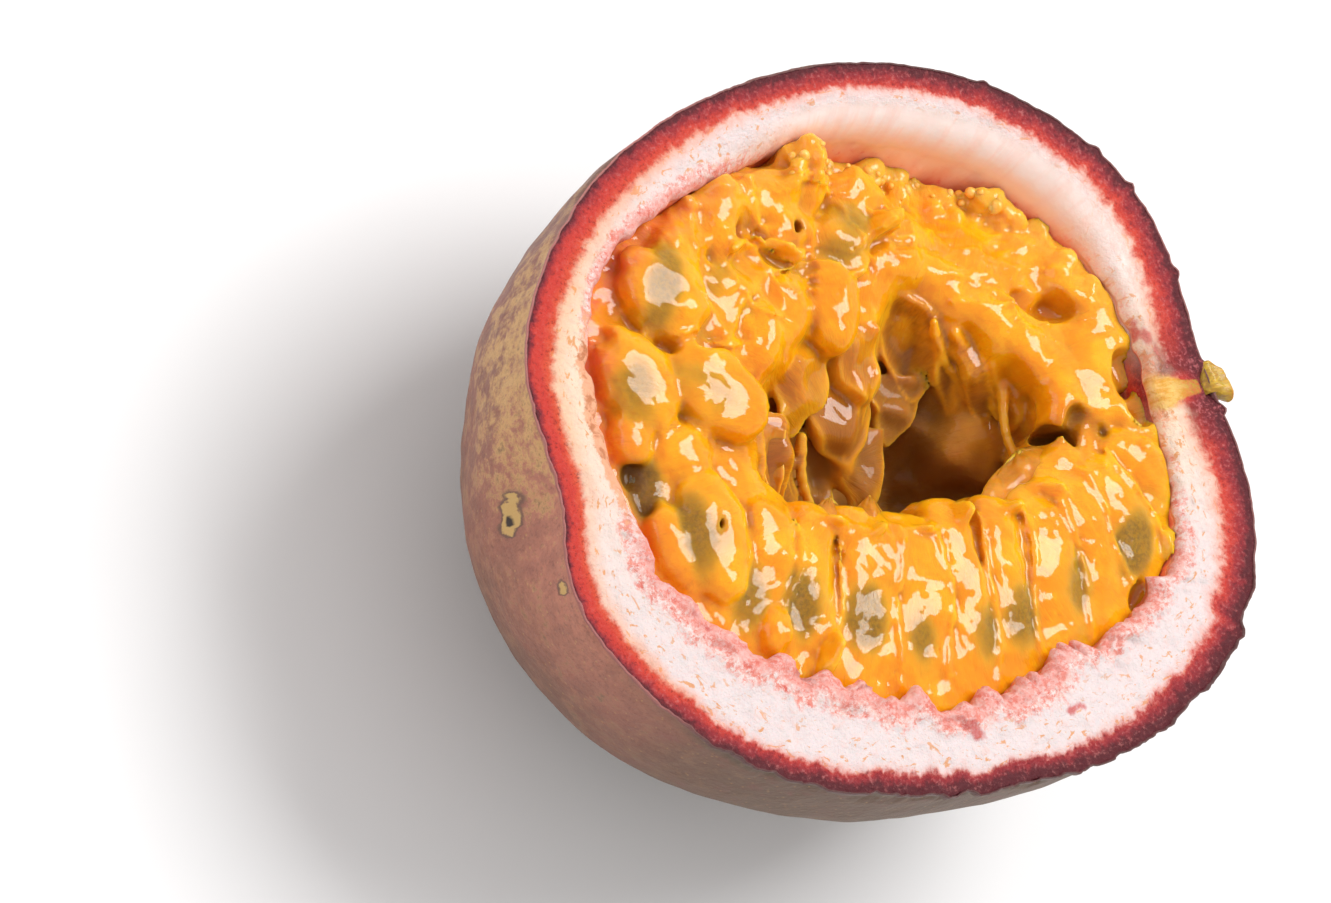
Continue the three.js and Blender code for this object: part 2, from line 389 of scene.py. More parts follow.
class Grower(Nodes):
    """A Geometry Nodes tree with named inputs."""

    def __init__(self, name, inputs):
        super().__init__(bpy.data.node_groups.new(name, "GeometryNodeTree"))
        shape = ("Geometry", "NodeSocketGeometry")
        open_sockets(self.tree, [(*shape, None), *inputs], [shape])
        self.given = self.add("NodeGroupInput").outputs

    def made(self, kind, **values):
        """The geometry that a node makes."""
        return self.add("GeometryNode" + kind, values).outputs[0]

    def named(self, name):
        """A vector attribute of the points."""
        values = {"Name": name}
        node = self.add("GeometryNodeInputNamedAttribute", values, data_type="FLOAT_VECTOR")
        return node.outputs[0]

    def scattered(self, shape):
        """Puts the shape on every point, turned and sized by the points' attributes."""
        turns = {"Rotation": self.named("turn"), "Scale": self.named("size")}
        copies = self.made("InstanceOnPoints", Points=self.given["Geometry"], Instance=shape, **turns)
        smooth = self.made("SetShadeSmooth", Geometry=self.made("RealizeInstances", Geometry=copies))
        final = self.made("SetMaterial", Geometry=smooth, Material=self.given["Material"])
        self.add("NodeGroupOutput", {0: final})
        return self.tree


# ---- Shader helpers ----


class Shader(Nodes):
    """A shader node tree."""

    def stirred(self, value, noise, amount):
        """A mask whose edges a noise stirs up."""
        return self.math("MULTIPLY_ADD", self.math("SUBTRACT", noise, 0.5), amount, value)

    def band(self, value, low, high, out_low=0.0, out_high=1.0):
        """A smooth step of a value, from out_low at low to out_high at high."""
        names = {"Value": value, "From Min": low, "From Max": high}
        names.update({"To Min": out_low, "To Max": out_high})
        node = self.add("ShaderNodeMapRange", names, interpolation_type="SMOOTHSTEP")
        return node.outputs[0]

    def mix(self, factor, a, b):
        colour_a, colour_b, result = 6, 7, 2
        values = {"Factor": factor, colour_a: a, colour_b: b}
        return self.add("ShaderNodeMix", values, data_type="RGBA").outputs[result]

    def tint(self, base, colour, value, low, high, most=1.0):
        """A base that takes on a colour as a value goes from low to high."""
        return self.mix(self.band(value, low, high, 0.0, most), base, colour)

    def noise(self, at, scale, detail=2.0, rough=0.5, distort=0.0):
        values = {"Vector": at, "Scale": scale, "Detail": detail, "Roughness": rough}
        values["Distortion"] = distort
        return self.add("ShaderNodeTexNoise", values).outputs[0]

    def attribute(self, name, output="Vector"):
        return self.add("ShaderNodeAttribute", attribute_name=name).outputs[output]

    def masks(self, name):
        """The three masks that an attribute of the mesh holds."""
        return self.split(self.attribute(name))

    def bump(self, height, distance, strength):
        values = {"Height": height, "Distance": distance * MM, "Strength": strength}
        return self.add("ShaderNodeBump", values).outputs[0]


def new_material(name):
    material = bpy.data.materials.new(name)
    material.use_nodes = True
    material.node_tree.nodes.clear()
    return material, Shader(material.node_tree)


def group_named(name, inputs, outputs, build):
    """A shader node group, built once."""
    if name in bpy.data.node_groups:
        return bpy.data.node_groups[name]
    tree = bpy.data.node_groups.new(name, "ShaderNodeTree")
    open_sockets(tree, inputs, outputs)
    shader = Shader(tree)
    start = shader.add("NodeGroupInput")
    end = shader.add("NodeGroupOutput")
    for socket, value in build(shader, start.outputs).items():
        shader.put(value, end.inputs[socket])
    return tree


def millimetres_group():
    """Object coordinates in millimetres."""

    def build(shader, _):
        return {"Place": shader.scaled(shader.add("ShaderNodeTexCoord").outputs["Object"], 1 / MM)}

    return group_named("Millimetres", [], [("Place", "NodeSocketVector")], build)


def wet_group():
    """Fine unevenness of a wet surface, which breaks up its highlights."""

    def build(shader, given):
        place, size = given["Place"], given["Size"]
        broad = shader.noise(place, shader.math("DIVIDE", 0.45, size), 2.0, 0.5, 0.6)
        fine = shader.noise(place, shader.math("DIVIDE", 1.6, size), 3.0, 0.55, 0.3)
        tiny = shader.noise(place, shader.math("DIVIDE", 3.6, size), 2.0, 0.5, 0.6)
        height = shader.math("MULTIPLY_ADD", fine, 0.34, broad)
        return {"Height": shader.math("MULTIPLY_ADD", tiny, 0.05, height)}

    sockets = [("Place", "NodeSocketVector", None), ("Size", "NodeSocketFloat", 1.0)]
    return group_named("Wet surface", sockets, [("Height", "NodeSocketFloat")], build)


def place_of(shader):
    return shader.add("ShaderNodeGroup", node_tree=millimetres_group()).outputs["Place"]


def wet_height(shader, place):
    node = shader.add("ShaderNodeGroup", node_tree=wet_group())
    shader.put(place, node.inputs["Place"])
    return node.outputs["Height"]


def surface(shader, values):
    """The Principled surface of a material."""
    node = shader.add("ShaderNodeBsdfPrincipled", values)
    shader.add("ShaderNodeOutputMaterial", {"Surface": node.outputs[0]})


# ---- Peel ----

STEM_Y = 0.1  # the stem lies a little beside the middle
PEEL_AROUND = 720
SKIN_RINGS = 50
CUT_RINGS = 44
WALL_RINGS = 22
LIP = 0.22  # how far the torn edge of the skin stands up
NOISE_RADIUS = 30  # of the circle that the noises round the peel run along
GRAIN_RADIUS = 28  # and of the one that the grain of the cut face runs along


def turn_depths(low, high, full_depth, count):
    """Depths spaced evenly along a round section."""
    turn = np.arcsin(np.clip((np.array([low, high]) / full_depth) ** (SECTION_POWER / 2), 0, 1))
    turns = np.linspace(*turn, count)
    return full_depth * np.sin(turns) ** (2 / SECTION_POWER)


# The torn inner edge of the pith on the low side: angle in degrees, reach over the pulp.
TORN_PITH = [
    (180, -0.2), (184, -0.3), (190, 0.2), (197, -0.6), (204, 0.6), (208, -0.1), (212, 0.7),
    (219, -0.5), (223, 0.9), (229, -0.4), (233, 1.1), (237, -0.2), (241, 1.0), (248, -0.4),
    (256, 2.1), (259.5, -0.3), (268, 0.1), (273.5, 1.5), (277, -0.4), (283, 0.2), (288, -0.2),
    (297, 1.3), (303, -0.2), (312, 1.2), (315, 0.8), (323, 0.9), (331, -0.2), (340, -0.5),
]


def low_side(angle):
    """1 along the side where the torn pith hangs over the pulp, 0 on the other side."""
    return plateau(angle, 3.12, 3.4, 5.7, 6.1)


def torn_side(angle):
    """1 along the stretch where the edge of the skin is torn and undercut."""
    return plateau(angle, 3.5, 4.2, 5.6, 6.0)


def wall_side(angle):
    """1 along the side where the bare inner wall shows, with its rounded corner."""
    return ease(0.15, 0.7, (angle + 0.6) % TURN - 0.6) * (1 - ease(1.6, 2.3, angle))


def torn_reach(angle):
    """How far the torn pith reaches over the pulp, with softly rounded lobes."""
    degrees = np.degrees(angle)
    at, reach = np.array(TORN_PITH).T
    place = np.clip(np.searchsorted(at, degrees) - 1, 0, len(at) - 2)
    share = ease(0, 1, (degrees - at[place]) / (at[place + 1] - at[place]))
    return reach[place] + (reach[place + 1] - reach[place]) * share


def rind_thickness(angle):
    return np.clip(waves(RIND, angle), 0.8, 4)


class PeelRings:
    """Rings of points from the pole of the skin, over the cut face, down the inner wall."""

    def __init__(self, sizes):
        self.sizes = sizes
        self.angle = angle = np.arange(PEEL_AROUND) * TURN / PEEL_AROUND
        self.around = np.stack([np.cos(angle), np.sin(angle), np.zeros_like(angle)], 1)
        self.low, self.round_side, self.torn = low_side(angle), wall_side(angle), torn_side(angle)
        self.rim = skin_radius(angle, np.zeros_like(angle), sizes.pole_depth)
        self.edge = self.rim + self.raggedness()
        self.rows = []
        self.add_skin()
        self.add_lip()
        self.add_face()
        self.add_wall()

    def noise(self, size, seed):
        return ripples(self.around * NOISE_RADIUS, size, seed)

    def ring(self, radius, z, zone, across, share):
        """Adds a ring. Its zone is 0 on the skin, 1 on the cut face and 2 on the inner wall."""
        points = self.around * np.broadcast_to(radius, self.angle.shape)[:, None]
        points[:, 2] = z
        every = np.ones_like(self.angle)
        self.rows.append((points, zone * every, across * every, share * every, self.angle))

    def raggedness(self):
        """How far the edge of the skin is torn outwards."""
        nick = 0.5 * np.clip(self.noise(2.4, 5) - 1.1, 0, 1) * ease(0.3, 0.9, np.cos(self.angle))
        ragged = 0.035 * self.noise(3.0, 6) + 0.015 * self.noise(0.8, 7)
        rags = 0.24 * np.abs(self.noise(5.5, 24)) + 0.06 * np.abs(self.noise(1.1, 25))
        return ragged + nick + self.torn * rags

    def add_skin(self):
        full = self.sizes.pole_depth
        band = 0.9 + 0.35 * self.noise(5.0, 9) + 0.12 * self.noise(1.5, 10)
        for depth in turn_depths(CUT_Z, 0.45, full, SKIN_RINGS):
            radius = skin_radius(self.angle, np.full_like(self.angle, depth), full)
            undercut = 0.28 * self.torn * (1 - ease(band - 0.15, band + 0.15, depth))
            radius = radius + (self.edge - self.rim) * math.exp(-depth / 1.2)
            points = self.around * radius[:, None] - [0, 0, depth]
            dents = 0.11 * ripples(points, 13, 3) + 0.035 * ripples(points, 3.5, 4)
            dents = dents * min(1.0, (CUT_Z - depth) / 6.0)
            self.ring(radius + dents - undercut, CUT_Z - depth, 0, -depth, 0)

    def add_lip(self):
        loose = plateau(self.angle, 2.6, 3.1, 5.4, 5.9)
        lip = LIP * loose * (0.5 + 0.5 * self.noise(1.3, 11))
        lip = np.clip(lip + 0.3 * self.torn * np.abs(self.noise(4, 12)), 0.02, 0.5)
        self.ring(self.edge - 0.02, CUT_Z - 0.22, 0, -0.22, 0)
        self.ring(self.edge + 0.02, CUT_Z + lip * 0.7, 0.5, 0.0, 0)
        self.ring(self.edge - 0.06, CUT_Z + lip, 0.5, 0.04, 0)
        self.ring(self.edge - 0.16, CUT_Z + 0.02, 1, 0.1, 0)

    def overhang(self):
        """How far the torn cut face reaches in past the inner wall."""
        soft_side = 0.45 + 0.55 * ease(3.9, 4.4, self.angle)
        fringe = 0.5 * np.abs(self.noise(2.9, 14)) + 0.14 * np.abs(self.noise(0.9, 20)) - 0.3
        fringe = fringe * soft_side * (0.3 + 0.9 * np.abs(self.noise(11.0, 22)))
        torn = self.low * self.sizes.teeth * (torn_reach(self.angle) + fringe)
        return torn - 0.12 * self.noise(2.4, 15) * (1 - self.low) * (1 - 0.7 * self.round_side)

    def face_relief(self, points, share, soft):
        """The felt of the pith and the torn, pitted sponge close to the pulp."""
        fluff = ease(0.45, 0.85, share) * self.low
        relief = 0.12 * math.sin(math.pi * share) * soft
        relief = relief + 0.03 * ripples(points, 0.9, 16) + 0.05 * soft * ripples(points, 2.2, 17)
        puffs = 0.13 * np.abs(ripples(points, 2.4, 18)) + 0.07 * np.abs(ripples(points, 1.0, 19))
        pits = 0.45 * ease(1.2, 1.8, ripples(points, 2.8, 21))
        return relief + fluff * (puffs - pits)

    def add_face(self):
        full = self.sizes.pole_depth - self.sizes.wall
        inner = waves(CAVITY, self.angle) * section(0.9 + 2.7 * self.round_side, full)
        inner = inner - self.overhang()
        for turn in np.linspace(0.03, 1, CUT_RINGS):
            share = math.sin(turn * math.pi / 2) ** 1.25
            radius = self.edge + (inner - self.edge) * share
            across = (self.edge - inner) * share
            points = self.around * radius[:, None]
            soft = ease(0.8, 1.3, across / rind_thickness(self.angle))
            relief = self.face_relief(points, share, soft)
            bent = np.clip((share - 0.4) / 0.6, 0, 1)
            big = 3.6 * self.round_side * (1 - math.sqrt(1 - bent**2))
            small_bent = np.clip((share - 0.86) / 0.14, 0, 1)
            small = 0.9 * (1 - self.round_side) * (1 - math.sqrt(1 - small_bent**2))
            groove = 0.5 * ease(28.8, 29.4, points[:, 0]) * hump(points[:, 1] - STEM_Y, 1.1, 4)
            height = CUT_Z + relief * (1 - bent * self.round_side) - big - small - groove
            self.ring(radius, height, 1, across, share)

    def add_wall(self):
        full = self.sizes.pole_depth - self.sizes.wall
        wall_top = CUT_Z - self.rows[-1][0][:, 2]
        for step in np.linspace(0.05, 1, WALL_RINGS) ** 1.5:
            depth = wall_top + (full * 0.985 - wall_top) * step
            radius = waves(CAVITY, self.angle) * section(depth, full)
            lumps = ripples(self.around * 24 + [0, 0, 1] * depth[:, None], 4.0, 23)
            lumps = 0.1 * lumps * min(1, step * 8) * (step < 0.9)
            hang = self.overhang() * np.exp(-(depth - wall_top) / (0.9 + 0.6 * self.low))
            self.ring(radius - hang + lumps, CUT_Z - depth, 2, depth, 1)


def skin_look(s, place, colours):
    """Colour and relief of the skin: purple brown, mottled with tan, pinker at the cut."""
    rim_pink, tan, dark = s.masks("marks")
    scar = s.masks("extra")[0]
    broad = s.noise(place, 0.16, 3, 0.6, 0.1)
    patch = s.noise(place, 0.6, 5, 0.7, 0.15)
    fine = s.noise(place, 2.8, 4, 0.75)
    pores = s.cells(place, 1.6)
    base = s.mix(s.band(broad, 0.3, 0.75, 0.1, 0.75), colours.skin, colours.skin_dark)
    base = s.tint(base, (0.40, 0.20, 0.12), patch, 0.46, 0.64, 0.45)
    base = s.tint(base, (0.17, 0.06, 0.065), patch, 0.44, 0.3, 0.4)
    base = s.mix(s.times(rim_pink, s.band(patch, 0.3, 0.6, 0.6, 1)), base, colours.skin_pink)
    # Painted shade: the lower skin and the band under the torn edge go darker.
    base = s.mix(s.times(dark, s.band(patch, 0.2, 0.5)), base, colours.skin_dark)
    golden = s.plus(s.times(tan, 0.24), s.math("MULTIPLY_ADD", fine, 0.5, patch))
    golden = s.times(s.band(golden, 0.82, 1.02, 0, 0.85), s.band(tan, 0, 0.7, 0.5, 1))
    base = s.mix(golden, base, colours.skin_tan)
    specks = s.times(s.band(pores, 0.22, 0.1), s.band(fine, 0.42, 0.6))
    base = s.mix(s.times(specks, 0.55), base, colours.skin_tan)
    base = s.tint(base, (0.14, 0.06, 0.05), fine, 0.48, 0.7, 0.45)
    ring = s.stirred(scar, patch, 1.6)
    base = s.tint(base, (0.14, 0.08, 0.06), ring, 0.1, 0.4, 0.8)
    base = s.tint(base, (0.56, 0.35, 0.13), ring, 0.45, 0.7)
    base = s.tint(base, (0.045, 0.03, 0.025), scar, 1.2, 1.7)
    wrinkles = s.noise(s.vector("MULTIPLY", place, (1, 1, 0.6)), 1.1, 5, 0.65, 0.3)
    return base, s.math("MULTIPLY_ADD", pores, 0.25, wrinkles)


def rind_colour(s, colours, rind_at, bright, grainy):
    """Maroon under the skin to bright red next to the pith, dusty in places."""
    lift = s.times(bright, s.band(rind_at, 0, 0.4, 0.12, 0.62))
    reach = s.plus(lift, rind_at)
    red = s.tint(colours.rind_dark, (0.30, 0.022, 0.03), reach, 0.2, 0.6)
    red = s.tint(red, colours.rind_bright, reach, 0.5, 1.05)
    red = s.mix(s.times(bright, s.band(rind_at, 0.55, 1, 0, 0.6)), red, (0.80, 0.13, 0.04))
    dusty = s.times(s.band(grainy, 0.5, 0.72), s.band(rind_at, 0.1, 0.5, 0.15, 0.55))
    dusty = s.times(dusty, s.band(bright, 0.2, 1, 1, 0.35))
    red = s.mix(dusty, red, (0.60, 0.20, 0.19))
    return s.tint(red, colours.rind_dark, grainy, 0.47, 0.3, 0.6)


def rosy_colour(s, place, colours, pink, sponge, froth):
    """The pink sponge at the inner edge of the pith, with red spots and white froth."""
    spots = s.band(s.noise(place, 0.9, 5, 0.7), 0.54, 0.66)
    rosy = s.tint((0.95, 0.60, 0.54), colours.pink, sponge, 0.42, 0.58)
    rosy = s.mix(s.times(spots, 0.85), rosy, (0.76, 0.13, 0.09))
    rosy = s.tint(rosy, (0.98, 0.84, 0.81), froth, 0.47, 0.6, 0.85)
    return s.tint(rosy, (0.86, 0.24, 0.19), pink, 0.7, 1, 0.45)


def face_look(s, place, colours):
    """Colour and relief of the cut face: rind, pith with rusty specks, sponge, stem canal."""
    rind, pink, warm = s.masks("bands")
    _, bright, stem_side = s.masks("extra")
    _, tissue, stem_canal = s.masks("sides")
    grain = s.attribute("grain")
    streak = s.noise(s.vector("MULTIPLY", grain, (1, 1, 0.4)), 1.5, 5, 0.65)
    grainy = s.noise(place, 3.2, 4, 0.7)
    border = s.noise(place, 0.8, 4, 0.65, 0.4)
    felt = s.noise(place, 1.3, 5, 0.7, 0.5)
    sponge = s.noise(place, 1.2, 6, 0.75, 0.3)
    froth = s.noise(place, 2.6, 4, 0.8)
    uneven = s.plus(s.times(streak, 0.4), s.times(border, 0.8))
    calmer = s.band(bright, 0, 1, 1, 0.65)
    rind_at = s.math("MULTIPLY_ADD", s.math("SUBTRACT", uneven, 0.6), calmer, rind)
    rind_at = s.stirred(rind_at, grainy, 0.2)

    pith = s.mix(warm, colours.pith, colours.pith_warm)
    pith = s.tint(pith, (0.86, 0.58, 0.52), felt, 0.5, 0.7, 0.5)
    pith = s.tint(pith, (0.72, 0.62, 0.60), felt, 0.48, 0.3, 0.35)
    speck_at = s.vector("MULTIPLY", grain, (1, 1, 2.0))
    speck = s.band(s.noise(speck_at, 1.05, 4, 0.62, 0.6), 0.575, 0.64)
    speck = s.times(speck, s.math("MULTIPLY_ADD", s.band(rind_at, 4, 1.6), 0.7, 0.3))
    pith = s.mix(s.times(speck, 0.8), pith, (0.76, 0.30, 0.07))
    rosy = rosy_colour(s, place, colours, pink, sponge, froth)
    pith = s.tint(pith, rosy, s.stirred(pink, sponge, 1.5), 0.2, 0.62)
    fleshy = s.tint((0.90, 0.42, 0.24), (0.58, 0.19, 0.07), border, 0.5, 0.64)
    pith = s.tint(pith, fleshy, s.stirred(tissue, sponge, 2.2), 0.3, 0.65, 0.92)
    canal = s.stirred(stem_canal, grainy, 0.8)
    yellow = s.tint((0.86, 0.55, 0.16), (0.76, 0.36, 0.04), streak, 0.4, 0.6)
    end = s.tint((0.50, 0.27, 0.03), (0.60, 0.15, 0.04), grainy, 0.45, 0.6)
    yellow = s.tint(yellow, end, s.split(place)[0], 25.6, 28.6)
    pith = s.tint(pith, yellow, canal, 0.1, 0.8)
    crimson = s.stirred(s.attribute("bruise", "Fac"), grainy, 0.9)
    pith = s.tint(pith, (0.60, 0.085, 0.075), crimson, 0.2, 1.1, 0.85)

    fade = s.mix(bright, (0.86, 0.34, 0.25), (0.92, 0.38, 0.13))
    spread = s.math("SUBTRACT", rind_at, s.times(bright, 0.35))
    fading = s.times(s.band(spread, 1.6, 0.8, 0, 0.85), s.band(bright, 0.3, 1, 1, 0.45))
    glow = s.mix(fading, pith, fade)
    red = rind_colour(s, colours, rind_at, bright, grainy)
    face = s.tint(red, glow, rind_at, 0.86, 1.2)
    lobes = s.times(stem_side, s.band(grainy, 0.35, 0.55, 0.75, 1))
    speckled = s.tint(colours.rind_dark, (0.42, 0.10, 0.11), grainy, 0.5, 0.62)
    face = s.tint(s.mix(lobes, face, speckled), yellow, canal, 0.75, 1.1)
    foam = s.band(pink, 0.2, 0.6, 0.3, 1.2)
    return face, s.math("MULTIPLY_ADD", froth, foam, s.plus(grainy, felt))


def wall_look(s, place, colours):
    """Colour and relief of the smooth inner wall: white through peach to coral at the pulp."""
    blush = s.noise(place, 0.35, 3, 0.6)
    streaks = s.noise(s.vector("MULTIPLY", s.attribute("grain"), (1, 1, 0.25)), 0.8, 4, 0.65)
    down = s.stirred(s.masks("sides")[0], streaks, 0.45)
    down = s.stirred(down, blush, 0.3)
    inside = s.tint((0.90, 0.76, 0.71), colours.wall, down, 0, 0.5)
    inside = s.tint(inside, (0.90, 0.58, 0.50), streaks, 0.46, 0.62, 0.35)
    inside = s.tint(inside, (0.90, 0.42, 0.28), down, 0.5, 0.95)
    inside = s.tint(inside, colours.flush, down, 0.85, 1.15, 0.85)
    fleck = s.times(s.band(s.noise(place, 1.6, 4, 0.7), 0.56, 0.7), s.band(down, 0.6, 0.9))
    return s.mix(s.times(fleck, 0.6), inside, (0.80, 0.10, 0.14)), s.times(blush, 0.5)


def peel_material(colours):
    material, s = new_material("peel")
    place = place_of(s)
    skin, cut, wall = s.masks("zones")
    outside, skin_relief = skin_look(s, place, colours)
    face, face_relief = face_look(s, place, colours)
    inside, wall_relief = wall_look(s, place, colours)
    edge_tone = s.tint((0.16, 0.10, 0.09), (0.66, 0.27, 0.24), s.masks("extra")[1], 0, 0.5)
    lip = s.times(s.math("SUBTRACT", 1, skin), s.band(s.masks("bands")[0], 0.06, 0.02))
    base = s.mix(cut, outside, s.mix(wall, face, inside))
    height = s.mix(wall, s.mix(cut, skin_relief, face_relief), wall_relief)
    rough = s.mix(wall, s.mix(cut, (0.52,) * 3, (0.42,) * 3), (0.3,) * 3)
    surface(s, {
        "Base Color": s.mix(s.times(lip, 0.65), base, edge_tone),
        "Roughness": rough,
        "Normal": s.bump(height, 0.22, 0.8),
        "Specular IOR Level": 0.25,
        "Subsurface Weight": 0.15,
        "Subsurface Scale": 0.0004,
        "Subsurface Radius": (1.0, 0.4, 0.3),
        "Coat Weight": s.times(wall, 0.7),
        "Coat Roughness": 0.2,
    })
    return material


def peel_attributes(points, zone, across, share, angle):
    """Masks that the peel's material mixes by."""
    depth = CUT_Z - points[:, 2]
    beside_stem = points[:, 1] - STEM_Y
    rind = across / rind_thickness(angle)
    low = low_side(angle)
    narrow = 0.14 * ease(4.9, 5.4, angle)
    pink = ease(0.52 + narrow, 0.87 + narrow, share) * low
    tissue = ease(0.66, 0.88, share) * 1.2 * bell(angle, 2.99, 0.27)
    tissue = tissue + 0.6 * ease(0.6, 0.9, share) * bell(angle, 0.02, 0.16)
    pink = pink + 1.1 * ease(0.62, 0.9, share) * bell(angle, 2.35, 0.45)
    pink = pink + 0.3 * ease(0.85, 1, share) * (1 - low)
    low_wall = np.clip((depth - 0.3) / (edge_drop(angle) + 0.3), 0, 2)
    low_wall = low_wall * (1 - 0.95 * bell(angle, 0.1, 0.25))
    rounded = ease(0.5, 0.72, share) * (1 - ease(1.5, 1.85, angle))
    bare = np.maximum(zone == 2, rounded * wall_side(angle) * (zone == 1))
    bare = bare * (1 - bell(angle, 0.03, 0.16))
    warm = np.clip(1.15 * bell(angle, 2.85, 0.42) + bell(angle, 0.0, 0.3), 0, 1) * (0.55 + 0.45 * share)
    warm = warm + 0.35 * ease(0.6, 1, share) * bell(angle, 1.5, 1)
    rim_pink = hump(depth, 8.5, 1.5) * bell(angle, math.pi + 0.12, 0.55) * (depth >= 0)
    tan = hump(depth, 9) * bell(angle, math.pi - 0.32, 0.42)
    # Painted shade on the skin: darker on the lower side and towards the pole, with a painted shadow just
    # under the torn edge.
    dark = 0.85 * plateau(angle, 3.5, 4.1, 5.9, 6.3)
    dark = dark + torn_side(angle) * (1 - ease(0.7, 1.2, depth))
    dark = np.clip(dark + ease(10, 24, depth) * 0.6, 0, 1.4)
    bright = bell(angle, math.pi - 0.1, 1) * (1 - 0.8 * ease(3.5, 3.95, angle))
    bright = np.clip(bright + 0.3 * bell(angle, 0.35, 0.35), 0, 1)
    bright = bright + 0.25 * bell(angle, -0.35, 0.3) - 0.4 * bell(angle, 4.7, 0.8)
    above = ease(-1, 1, points[:, 1])
    stem_side = ease(26.0 - 1.8 * above, 27.4 - 1.8 * above, points[:, 0])
    stem_side = stem_side * hump(beside_stem, 3.4) * ease(0.6, 1.6, np.abs(beside_stem))
    return {
        "zones": np.stack([zone == 0, zone >= 0.5, bare], 1).astype(float),
        "bands": np.stack([rind, pink, np.clip(warm, 0, 1)], 1),
        "marks": np.stack([rim_pink, tan, dark], 1),
        "extra": np.stack([scar_mask(points), bright, stem_side], 1),
        "bruise": bruises(points),
        "grain": np.stack([GRAIN_RADIUS * np.cos(angle), GRAIN_RADIUS * np.sin(angle), across], 1),
        "sides": np.stack([low_wall, tissue, canal_mask(points)], 1),
    }


# Crimson bruises in the pith: place, half length, half width, turn in degrees.
BRUISES = [
    ((25.1, 4.2), 1.7, 0.45, -66),
    ((-1.4, -21.7), 0.6, 0.9, 20),
    ((8.0, -21.6), 1.0, 0.3, 10),
    ((-21.6, -11.2), 0.7, 0.4, 120),
    ((-23.6, -5.4), 0.3, 1.2, 20),
]


def bruises(points):
    mask = np.zeros(len(points))
    for (x, y), long, wide, turn in BRUISES:
        local = (points - [x, y, CUT_Z]) @ plan_axes(turn).T
        reach = np.sqrt((local[:, 0] / long) ** 2 + (local[:, 1] / wide) ** 2)
        reach = reach + 0.3 * ripples(points, 1.1, 51)
        mask = np.maximum(mask, ease(1.7, 0.3, reach) * (local[:, 2] > -1.5))
    return mask


def canal_mask(points):
    """1 along the yellow canal of the stem, which widens into the pith."""
    x = points[:, 0]
    half = 0.75 + 0.8 * ease(28, 24.5, x)
    run = ease(22.8, 26, x) * ease(29.3, 28.3, x)
    return 1.3 * run * hump(points[:, 1] - STEM_Y, half, 4) * (points[:, 2] > CUT_Z - 1)


# Scars on the skin: place, half length, half width, turn in the surface.
SCARS = [((-30.7, -0.5, 23.1), 1.7, 1.0, 0.6), ((-30.6, -6.8, 26.7), 0.55, 0.4, 0.0)]


def scar_mask(points):
    """0 on plain skin, 1 in the tan ring of a scar, 2 in its dark middle."""
    mask = np.zeros(len(points))
    for place, long, wide, turn in SCARS:
        away = points - np.array(place)
        along = away[:, 1] * math.cos(turn) + away[:, 2] * math.sin(turn)
        over = -away[:, 1] * math.sin(turn) + away[:, 2] * math.cos(turn)
        reach = np.sqrt((along / long) ** 2 + (over / wide) ** 2 + (away[:, 0] / 3) ** 2)
        mask = np.maximum(mask, ease(1.15, 0.85, reach))
        if long > 1:  # a large scar has a dark middle
            middle = np.sqrt(((along + 0.5) / 0.45) ** 2 + (over / 0.5) ** 2)
            mask = np.maximum(mask, 2 * ease(1.2, 0.7, middle) * (reach < 1.3))
    return mask


def build_peel():
    sizes, colours, _ = settings()
    rows = PeelRings(sizes).rows
    points, *where = [np.concatenate(column) for column in zip(*rows)]
    ends = [(0.0, 0.0, points[0, 2]), (0.0, 0.0, points[-1, 2])]
    faces = ring_faces(len(rows), PEEL_AROUND, len(points), len(points) + 1)
    attributes = peel_attributes(points, *where)
    for key, values in attributes.items():
        attributes[key] = np.concatenate([values, [values[0], values[-1]]])
    points = np.concatenate([points, ends])
    piece = mesh_piece("peel", points, faces, peel_material(colours), attributes)
    return finished(piece, "shell")


# ---- Solid shapes on a grid ----


FAR = 9.0  # a distance well outside a shape


